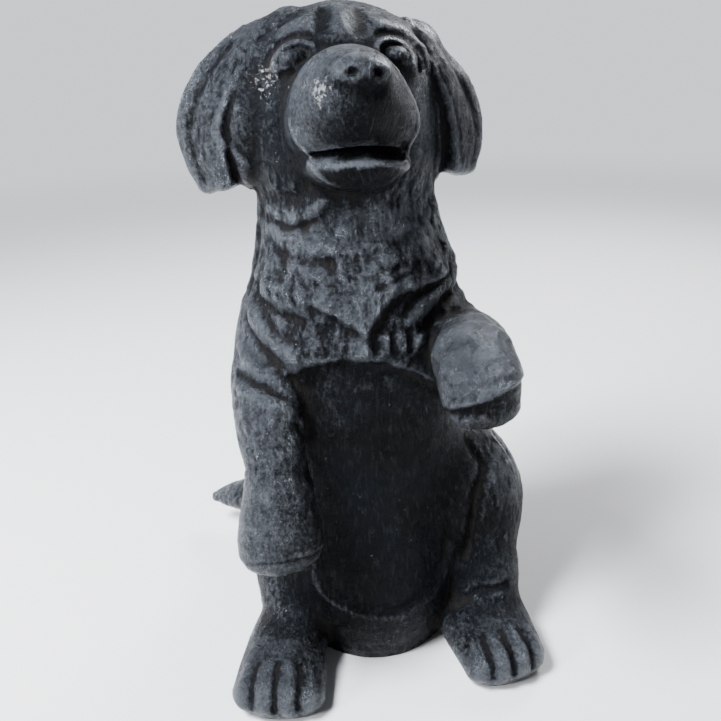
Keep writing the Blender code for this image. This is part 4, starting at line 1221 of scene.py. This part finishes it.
class Graph:
    """Node tree under construction, a material's or a group's."""

    def __init__(self, tree: bpy.types.NodeTree) -> None:
        """Keeps the tree."""
        self.tree = tree

    def put(self, socket: bpy.types.NodeSocket, value: object) -> None:
        """Links an output to the socket, or sets its value."""
        if isinstance(value, bpy.types.NodeSocket):
            self.tree.links.new(value, socket)
        else:
            socket.default_value = value

    def node(self, kind: str, inputs: dict[str | int, object] | None = None,
             **settings: object) -> bpy.types.Node:
        """New node with its settings and inputs.

        Args:
            kind: Blender's name of the node.
            inputs: Sockets by name or number, each with a value or an output to link.
            **settings: Properties of the node.

        Returns:
            The node.
        """
        node = self.tree.nodes.new(kind)
        for name, value in settings.items():
            setattr(node, name, value)
        for name, value in (inputs or {}).items():
            self.put(node.inputs[name], value)
        return node

    def math(self, operation: str, a: object, b: object = 0.0, c: object = 0.0) -> bpy.types.NodeSocket:
        """Output of a Math node."""
        return self.node("ShaderNodeMath", {0: a, 1: b, 2: c}, operation=operation).outputs[0]

    def ramp(self, value: object, low: float, high: float, to_low: float = 0.0,
             to_high: float = 1.0) -> bpy.types.NodeSocket:
        """Value carried from one range to another with soft ends."""
        return self.node("ShaderNodeMapRange", {0: value, 1: low, 2: high, 3: to_low, 4: to_high},
                         interpolation_type="SMOOTHSTEP").outputs[0]

    def mix(self, share: object, a: object, b: object) -> bpy.types.NodeSocket:
        """Colour a carried to colour b by the share. The node has its colours in sockets 6, 7 and 2."""
        return self.node("ShaderNodeMix", {0: share, 6: a, 7: b}, data_type="RGBA").outputs[2]

    def noise(self, scale: float, detail: float = 3.0, roughness: float = 0.55, stretch: Row = (1, 1, 1),
              turned: Row = (0, 0, 0)) -> bpy.types.NodeSocket:
        """Noise on Object coordinates, stretched and turned, about 0.5."""
        place = self.node("ShaderNodeTexCoord").outputs["Object"]
        place = self.node("ShaderNodeMapping", {"Vector": place, "Rotation": tuple(np.radians(turned)),
                                                "Scale": stretch}).outputs[0]
        return self.node("ShaderNodeTexNoise", {"Vector": place, "Scale": scale, "Detail": detail,
                                                "Roughness": roughness}).outputs[0]

    def mark(self, name: str) -> bpy.types.NodeSocket:
        """One of the skin's attributes."""
        return self.node("ShaderNodeAttribute", attribute_name=name).outputs["Fac"]

    def effect(self, tree: bpy.types.NodeTree, **given: object) -> bpy.types.NodeOutputs:
        """Outputs of a group placed in this tree, its inputs set or linked by name."""
        node = self.node("ShaderNodeGroup", node_tree=tree)
        for name, value in given.items():
            self.put(node.inputs[name], value)
        return node.outputs


def node_group(name: str, inputs: dict[str, float], outputs: tuple[str, ...]) -> tuple[Graph, dict, dict]:
    """New shader node group.

    Args:
        name: Its name.
        inputs: Names and first values of its value inputs.
        outputs: Names of its value outputs.

    Returns:
        Its graph, its inputs by name as outputs to link from, and its outputs by name as sockets to fill.
    """
    tree = bpy.data.node_groups.new(name, "ShaderNodeTree")
    for key, value in inputs.items():
        tree.interface.new_socket(key, in_out="INPUT", socket_type="NodeSocketFloat").default_value = value
    for key in outputs:
        tree.interface.new_socket(key, in_out="OUTPUT", socket_type="NodeSocketFloat")
    graph = Graph(tree)
    return graph, graph.node("NodeGroupInput").outputs, graph.node("NodeGroupOutput").inputs


@dataclass(frozen=True)
class CastGrain:
    """Grain of a sand casting: fine noise, coarser flattened lumps and small pits in patches. Height.

    A noise is its scale, detail and roughness, here and below, and a pair of limits the ends of a ramp.
    """

    fine: Row = (560, 4, 0.85)
    fine_height: float = 0.8
    lumps: Row = (300, 5, 0.75)
    lump_height: float = 1.4
    flattened: Row = (1, 1, 0.6)
    cells: float = 420.0
    pit: Pair = (0.16, 0.05)
    patches: Row = (45, 2)
    patch: Pair = (0.5, 0.62)

    def group(self) -> bpy.types.NodeTree:
        """Builds the node group."""
        graph, given, out = node_group("cast grain", {"Lumps": 1.0}, ("Height",))
        fine = graph.noise(*self.fine)
        lumps = graph.math("MULTIPLY", graph.noise(*self.lumps, stretch=self.flattened), given["Lumps"])
        place = graph.node("ShaderNodeTexCoord").outputs["Object"]
        cells = graph.node("ShaderNodeTexVoronoi", {"Vector": place, "Scale": self.cells}).outputs["Distance"]
        patch = graph.ramp(graph.noise(*self.patches), *self.patch)
        pits = graph.math("MULTIPLY", graph.ramp(cells, *self.pit), patch)
        height = graph.math("ADD", graph.math("MULTIPLY", fine, self.fine_height),
                            graph.math("MULTIPLY", lumps, self.lump_height))
        graph.put(out["Height"], graph.math("SUBTRACT", height, pits))
        return graph.tree


@dataclass(frozen=True)
class HairStrokes:
    """Short hair strokes cut down the coat, in two leans that take turns in patches. Mask."""

    strokes: Row = (520, 2)
    drawn_out: Row = (1, 1, 0.11)
    leans: Pair = (14, -16)
    cut: Pair = (0.52, 0.68)
    patches: Row = (60, 2)
    patch: Pair = (0.4, 0.62)

    def group(self) -> bpy.types.NodeTree:
        """Builds the node group."""
        graph, given, out = node_group("hair strokes", {"Amount": 1.0}, ("Mask",))
        masks = []
        for lean in self.leans:
            noise = graph.noise(*self.strokes, stretch=self.drawn_out, turned=(0, lean, lean / 2))
            masks.append(graph.ramp(noise, *self.cut))
        patch = graph.ramp(graph.noise(*self.patches), *self.patch)
        strokes = graph.math("ADD", graph.math("MULTIPLY", masks[0], patch),
                             graph.math("MULTIPLY", masks[1], graph.math("SUBTRACT", 1.0, patch)))
        graph.put(out["Mask"], graph.math("MULTIPLY", strokes, given["Amount"]))
        return graph.tree


@dataclass(frozen=True)
class Scratches:
    """Thin scratches, where drawn-out noise passes its middle, broken up by coarser noise. Mask.

    ways are rows of angle and scale, and width is how far off its middle the noise is at a scratch's edges.
    """

    ways: tuple[Pair, ...] = ((25, 60), (-40, 80), (78, 50))
    drawn_out: Row = (1, 1, 0.08)
    width: Pair = (0.004, 0.001)
    coarser: float = 0.6
    some: Pair = (0.6, 0.7)

    def group(self) -> bpy.types.NodeTree:
        """Builds the node group."""
        graph, given, out = node_group("scratches", {"Amount": 1.0}, ("Mask",))
        lines = 0.0
        for angle, scale in self.ways:
            noise = graph.noise(scale, 1, stretch=self.drawn_out, turned=(angle, angle, 0))
            off = graph.math("ABSOLUTE", graph.math("SUBTRACT", noise, 0.5))
            some = graph.ramp(graph.noise(scale * self.coarser, 2), *self.some)
            line = graph.math("MULTIPLY", graph.ramp(off, *self.width), some)
            lines = graph.math("MAXIMUM", line, lines)
        graph.put(out["Mask"], graph.math("MULTIPLY", lines, given["Amount"]))
        return graph.tree


@dataclass(frozen=True)
class EdgeWearAndPaintedLight:
    """Rubbed metal on what stands out, with the painted highlights and painted shade of the rubbed mark,
    broken up by noise and by the grain round its middle height. Mask.

    specks are rows of a noise's scale, detail and amount.
    """

    edge: float = 0.34
    swell: float = 0.24
    specks: tuple[Row, ...] = ((30, 3, 0.6), (420, 4, 1.5))
    roughness: float = 0.7
    middle: float = 1.1
    grain: float = 0.9
    limits: Pair = (-0.1, 1.15)

    def group(self) -> bpy.types.NodeTree:
        """Builds the node group."""
        inputs = {"Edge": 0.0, "Swell": 0.0, "Rubbed": 0.0, "Height": self.middle}
        graph, given, out = node_group("edge wear and painted light", inputs, ("Mask",))
        swell = graph.math("MULTIPLY", given["Swell"], self.swell)
        worn_and_lit = graph.math("ADD", given["Rubbed"], graph.math("MULTIPLY_ADD", given["Edge"], self.edge, swell))
        for scale, detail, amount in self.specks:
            speckle = graph.math("SUBTRACT", graph.noise(scale, detail, self.roughness), 0.5)
            worn_and_lit = graph.math("MULTIPLY_ADD", speckle, amount, worn_and_lit)
        grain = graph.math("SUBTRACT", given["Height"], self.middle)
        broken = graph.math("MULTIPLY_ADD", grain, self.grain, worn_and_lit)
        graph.put(out["Mask"], graph.ramp(broken, *self.limits))
        return graph.tree


@dataclass(frozen=True)
class SettledDust:
    """Brown dust in hollows and on what faces up, in patches. Mask."""

    edge: float = -0.4
    swell: float = -0.45
    upward: float = 0.4
    patches: Row = (28, 4)
    patchy: float = 1.5
    limits: Pair = (0.2, 1.2)

    def group(self) -> bpy.types.NodeTree:
        """Builds the node group."""
        graph, given, out = node_group("settled dust", {"Edge": 0.0, "Swell": 0.0, "Amount": 1.0}, ("Mask",))
        normal = graph.node("ShaderNodeNewGeometry").outputs["Normal"]
        up = graph.node("ShaderNodeSeparateXYZ", {0: normal}).outputs["Z"]
        swell = graph.math("MULTIPLY", given["Swell"], self.swell)
        hollow = graph.math("MULTIPLY_ADD", given["Edge"], self.edge, swell)
        lies = graph.math("MULTIPLY_ADD", graph.math("MAXIMUM", up, 0.0), self.upward, hollow)
        patches = graph.math("SUBTRACT", graph.noise(*self.patches), 0.5)
        patchy = graph.math("MULTIPLY_ADD", patches, self.patchy, lies)
        graph.put(out["Mask"], graph.math("MULTIPLY", graph.ramp(patchy, *self.limits), given["Amount"]))
        return graph.tree


@dataclass(frozen=True)
class PaleSpecks:
    """Small pale specks, crowded where the skin is chalky and rare elsewhere. Mask.

    A crowd is noise times crowd_share with the chalky mark times chalky added, and near bounds the mark.
    """

    crowd: Row = (330, 4, 0.75)
    crowd_share: float = 0.9
    chalky: float = 0.24
    crowded: Pair = (0.66, 0.74)
    rare: Row = (240, 2, 0.8)
    rarely: Pair = (0.745, 0.77)
    near: Pair = (0.1, 0.4)

    def group(self) -> bpy.types.NodeTree:
        """Builds the node group."""
        graph, given, out = node_group("pale specks", {"Chalky": 0.0}, ("Mask",))
        chalky = graph.math("MULTIPLY", given["Chalky"], self.chalky)
        crowd = graph.math("MULTIPLY_ADD", graph.noise(*self.crowd), self.crowd_share, chalky)
        crowd = graph.ramp(crowd, *self.crowded)
        rare = graph.ramp(graph.noise(*self.rare), *self.rarely)
        near = graph.ramp(given["Chalky"], *self.near)
        graph.put(out["Mask"], graph.math("MAXIMUM", graph.math("MULTIPLY", crowd, near), rare))
        return graph.tree


@dataclass(frozen=True)
class WornMetalWithPaintedLight:
    """Dark patinated aluminium, semi-gloss, rubbed blue-grey on what stands out, with painted blue-grey
    highlights and painted shade from the rubbed mark, and dust in its hollows.

    tint and dull are the ramps of two noises: where the dark is bluish, and where the roughness is the most
    of rough and not the least. metal is how metallic the dark is and what bright adds to it. Scratches and
    dust come in their amounts, each share is how much of an effect shows in the colour, each rough is what
    it does to the roughness, and hair_height and scratch_depth are for the bump.
    """

    name: str = "dark cast aluminium"
    dark: Row = (0.0015, 0.0015, 0.0015, 1)
    bluish: Row = (0.0025, 0.003, 0.0045, 1)
    # colour of rubbed metal, also laid as a painted highlight; its blue tint is a painted reflection of the
    # sky
    worn_and_lit: Row = (0.078, 0.084, 0.095, 1)
    dust: Row = (0.014, 0.0125, 0.011, 1)
    speck: Row = (0.25, 0.25, 0.24, 1)
    specular: float = 0.05
    tints: Row = (14, 3)
    tint: Pair = (0.4, 0.62)
    dulls: Row = (75, 4)
    dull: Pair = (0.3, 0.7)
    rough: Pair = (0.22, 0.36)
    metal: Pair = (0.1, 0.9)
    scratch_amount: float = 0.8
    dust_amount: float = 0.7
    scratch_share: float = 0.6
    hair_share: float = 0.12
    dust_rough: float = 0.3
    speck_rough: float = 0.8
    hair_height: float = 0.35
    scratch_depth: float = 0.5
    bump: float = 0.0014

    def material(self) -> bpy.types.Material:
        """Builds the material."""
        material = bpy.data.materials.new(self.name)
        material.use_nodes = True
        graph = Graph(material.node_tree)
        shader = material.node_tree.nodes["Principled BSDF"]

        edge, swell = graph.mark("edge"), graph.mark("swell")
        grain = graph.effect(CastGrain().group(), Lumps=1.0)["Height"]
        hair = graph.effect(HairStrokes().group(), Amount=1.0)["Mask"]
        scratch = graph.effect(Scratches().group(), Amount=self.scratch_amount)["Mask"]
        # this mask also carries painted highlights where light falls and painted shade where it does not
        wear_and_light = graph.effect(EdgeWearAndPaintedLight().group(), Edge=edge, Swell=swell, Rubbed=graph.mark("rubbed_and_lit"),
                            Height=grain)["Mask"]
        dust = graph.effect(SettledDust().group(), Edge=edge, Swell=swell, Amount=self.dust_amount)["Mask"]
        specks = graph.effect(PaleSpecks().group(), Chalky=graph.mark("chalky"))["Mask"]
        bright = graph.math("MAXIMUM", wear_and_light, graph.math("MULTIPLY", scratch, self.scratch_share))
        bright = graph.math("MAXIMUM", bright, graph.math("MULTIPLY", hair, self.hair_share))
        colour = graph.mix(graph.ramp(graph.noise(*self.tints), *self.tint), self.dark, self.bluish)
        # the rubbed colour goes on by wear and by painted highlights; the dark base shows through as painted
        # shade
        colour = graph.mix(bright, colour, self.worn_and_lit)
        colour = graph.mix(dust, colour, self.dust)
        colour = graph.mix(specks, colour, self.speck)
        graph.put(shader.inputs["Base Color"], colour)
        clean = graph.math("SUBTRACT", 1.0, dust)
        metal = graph.math("MULTIPLY_ADD", bright, self.metal[1], self.metal[0])
        graph.put(shader.inputs["Metallic"], graph.math("MULTIPLY", metal, clean))
        rough = graph.ramp(graph.noise(*self.dulls), *self.dull, *self.rough)
        rough = graph.math("MULTIPLY_ADD", dust, self.dust_rough, rough)
        rough = graph.math("MAXIMUM", rough, graph.math("MULTIPLY", specks, self.speck_rough))
        graph.put(shader.inputs["Roughness"], rough)
        shader.inputs["Specular IOR Level"].default_value = self.specular
        height = graph.math("MULTIPLY_ADD", hair, self.hair_height, grain)
        height = graph.math("SUBTRACT", height, graph.math("MULTIPLY", scratch, self.scratch_depth))
        bump = graph.node("ShaderNodeBump", {"Strength": 1.0, "Distance": self.bump, "Height": height})
        graph.put(shader.inputs["Normal"], bump.outputs[0])
        return material


@dataclass(frozen=True)
class Casting:
    """The statue's single piece: skin, fur, marks of wear and of painted light and shade, and finish.

    step is the skin's grid step, triangles the most that are kept, and flat what lies in the cut, in metres.
    """

    step: float = 0.36
    triangles: int = 196000
    quick_step: float = 0.6
    flat: float = 1e-6
    finish: WornMetalWithPaintedLight = WornMetalWithPaintedLight()

    def build(self, low: Array, high: Array) -> bpy.types.Object:
        """Builds the piece into the CAD node's box.

        Args:
            low: The box's lowest corner, metres.
            high: Its highest corner.

        Returns:
            The dressed piece, at the origin.
        """
        statue = Statue()
        skin = Skin(statue.distance, self.step)
        LOG.info("skin of %d quads", len(skin.quads))
        skin.settle()
        top = skin.vertices[:, 2].max()
        Coat().carve(statue, skin)
        piece = self.object(skin, WearAndPaintedLight().marks(skin, statue.lines))
        self.thin_out(piece)
        self.stand(piece, (high[2] - low[2]) / top)
        piece.data.materials.append(self.finish.material())
        LOG.info("%s has %d triangles", piece.name, len(piece.data.polygons))
        return piece

    @staticmethod
    def object(skin: Skin, marks: dict[str, Array]) -> bpy.types.Object:
        """The skin as an object, with its marks as attributes."""
        mesh = bpy.data.meshes.new("cast_dog")
        mesh.from_pydata(skin.vertices.tolist(), [], skin.quads.tolist())
        for name, values in marks.items():
            mesh.attributes.new(name, "FLOAT", "POINT").data.foreach_set("value", values.astype(np.float32))
        piece = bpy.data.objects.new("cast_dog", mesh)
        bpy.context.scene.collection.objects.link(piece)
        return piece

    def thin_out(self, piece: bpy.types.Object) -> None:
        """Fewer triangles, kept where the skin bends most."""
        ratio = self.triangles / (2 * len(piece.data.polygons))
        if ratio < 1:
            modifier = piece.modifiers.new("thin out", "DECIMATE")
            modifier.ratio = ratio
            modifier.use_collapse_triangulate = True
            mesh = bpy.data.meshes.new_from_object(piece.evaluated_get(bpy.context.evaluated_depsgraph_get()))
            piece.modifiers.clear()
            piece.data = mesh

    def stand(self, piece: bpy.types.Object, scale: float) -> None:
        """Cuts the piece flat at the ground, closes the cut, carries it to size and shades it smooth."""
        bm = bmesh.new()
        bm.from_mesh(piece.data)
        bmesh.ops.bisect_plane(bm, geom=bm.verts[:] + bm.edges[:] + bm.faces[:], dist=0.01,
                               plane_co=(0, 0, 0), plane_no=(0, 0, 1), clear_inner=True)
        bmesh.ops.holes_fill(bm, edges=[e for e in bm.edges if e.is_boundary], sides=0)
        bmesh.ops.triangulate(bm, faces=bm.faces[:])
        bmesh.ops.recalc_face_normals(bm, faces=bm.faces[:])
        bmesh.ops.scale(bm, vec=(scale, scale, scale), verts=bm.verts[:])
        for face in bm.faces:
            face.smooth = face.calc_center_median().z > self.flat
        bm.to_mesh(piece.data)
        bm.free()


@dataclass(frozen=True)
class Lamp:
    """Soft square lamp: where it stands and what it faces in metres, side, watts and colour."""

    name: str
    place: Row
    side: float
    watts: float
    colour: Row
    aim: Row = (0.0, 0.0, 0.24)

    def build(self) -> None:
        """Puts the lamp up, turned to its aim."""
        light = bpy.data.lights.new(self.name, "AREA")
        light.size, light.energy, light.color = self.side, self.watts, self.colour
        lamp = bpy.data.objects.new(self.name, light)
        lamp.location = self.place
        away = unit(np.array(self.place) - np.array(self.aim))
        right = unit(np.cross((0, 0, 1), away))
        lamp.matrix_world = matrix(right, np.cross(away, right), away, self.place)
        bpy.context.scene.collection.objects.link(lamp)


def matrix(right: Array, up: Array, back: Array, place: Array) -> Matrix:
    """World matrix from three axes and a place."""
    rows = np.stack([right, up, back], 1).tolist()
    return Matrix([(*row, x) for row, x in zip(rows, place)] + [(0, 0, 0, 1)])


@dataclass(frozen=True)
class Studio:
    """Plain pale floor, soft lamps and a sky that dims upward from the horizon and toward the front.

    dims and turns are the ramps of both, over the height and over how far back a direction points, and fade
    is where the floor goes over into the sky, in metres.
    """

    radius: float = 30.0
    corners: int = 64
    matte: float = 0.9
    floor: Row = (0.8, 0.79, 0.78, 1)
    sky: Row = (0.88, 0.93, 1.0, 1)
    sky_strength: float = 1.2
    top_strength: float = 0.2
    front_share: float = 0.4
    dims: Pair = (0.08, 0.5)
    turns: Pair = (-0.75, 0.3)
    fade: Pair = (0.6, 2.6)
    lamps: tuple[Lamp, ...] = (
        Lamp("key", (-0.8, -0.25, 1.4), 0.45, 95.0, (0.9, 0.95, 1.0)),
        Lamp("left", (-1.5, -0.7, 0.8), 0.35, 34.0, (0.94, 0.97, 1.0)),
        Lamp("back", (0.9, 0.9, 1.1), 0.5, 26.0, (0.95, 0.97, 1.0)))

    def build(self) -> None:
        """Lays the floor, hangs the lamps and sets the sky."""
        turn_round = np.linspace(0, 2 * np.pi, self.corners, endpoint=False)
        mesh = bpy.data.meshes.new("studio_floor")
        rim = [(self.radius * np.cos(a), self.radius * np.sin(a), 0.0) for a in turn_round]
        mesh.from_pydata(rim, [], [list(range(len(rim)))])
        mesh.materials.append(self.floor_material())
        floor = bpy.data.objects.new("studio_floor", mesh)
        bpy.context.scene.collection.objects.link(floor)
        for lamp in self.lamps:
            lamp.build()
        world = bpy.data.worlds.new("studio sky")
        bpy.context.scene.world = world
        world.use_nodes = True
        graph = Graph(world.node_tree)
        background = world.node_tree.nodes["Background"]
        background.inputs["Color"].default_value = self.sky
        direction = graph.node("ShaderNodeTexCoord").outputs["Generated"]
        up = graph.node("ShaderNodeSeparateXYZ", {0: direction}).outputs["Z"]
        height = graph.ramp(up, *self.dims, self.sky_strength, self.top_strength)
        graph.put(background.inputs["Strength"], graph.math("MULTIPLY", height, self.front(graph, direction)))

    def front(self, graph: Graph, direction: bpy.types.NodeSocket) -> bpy.types.NodeSocket:
        """Share of the sky's strength left in a direction, least straight ahead of the statue."""
        ahead = graph.node("ShaderNodeSeparateXYZ", {0: direction}).outputs["Y"]
        return graph.ramp(ahead, *self.turns, self.front_share, 1.0)

    def floor_material(self) -> bpy.types.Material:
        """Matte and pale near the statue, and as bright as the sky further off, so no horizon shows."""
        material = bpy.data.materials.new("pale floor")
        material.use_nodes = True
        graph = Graph(material.node_tree)
        shader = material.node_tree.nodes["Principled BSDF"]
        shader.inputs["Roughness"].default_value = self.matte
        shader.inputs["Specular IOR Level"].default_value = 0.0
        place = graph.node("ShaderNodeTexCoord").outputs["Object"]
        away = graph.node("ShaderNodeVectorMath", {0: place}, operation="LENGTH").outputs["Value"]
        direction = graph.node("ShaderNodeVectorMath", {0: place}, operation="NORMALIZE").outputs["Vector"]
        far = graph.ramp(away, *self.fade)
        graph.put(shader.inputs["Base Color"], graph.mix(far, self.floor, (0, 0, 0, 1)))
        graph.put(shader.inputs["Emission Color"], self.sky)
        glow = graph.math("MULTIPLY", self.front(graph, direction), self.sky_strength)
        graph.put(shader.inputs["Emission Strength"], graph.math("MULTIPLY", far, glow))
        return material


@dataclass(frozen=True)
class Viewpoint:
    """The photograph's camera, about an arm's length away and looking down on the dog."""

    azimuth: float = -8.5
    elevation: float = 25.0
    roll: float = -2.0
    distance: float = 0.5326
    aim: Row = (0.00631, -0.00559, 0.21244)
    sensor: float = 36.0
    lens: float = 34.44

    def build(self) -> None:
        """Makes the camera: back from its aim against the line of sight, rolled round that line."""
        a, e, roll = np.radians([self.azimuth, self.elevation, self.roll])
        sight = np.array([-np.sin(a) * np.cos(e), np.cos(a) * np.cos(e), -np.sin(e)])
        level = np.array([np.cos(a), np.sin(a), 0])
        over = np.cross(level, sight)
        right = level * np.cos(roll) + over * np.sin(roll)
        data = bpy.data.cameras.new("camera")
        data.sensor_width, data.lens = self.sensor, self.lens
        camera = bpy.data.objects.new("camera", data)
        camera.matrix_world = matrix(right, over * np.cos(roll) - level * np.sin(roll), -sight,
                                     np.array(self.aim) - sight * self.distance)
        bpy.context.scene.collection.objects.link(camera)
        bpy.context.scene.camera = camera


def main() -> None:
    """Builds the camera, the statue and the studio, and keeps the sizes of both models."""
    logging.basicConfig(level=logging.INFO, format="%(message)s")
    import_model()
    Viewpoint().build()
    low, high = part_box(NODE)
    piece = Casting().build(np.array(low), np.array(high))
    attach(piece, BODY)
    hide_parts(NODE)
    Studio().build()


if __name__ == "__main__":
    main()
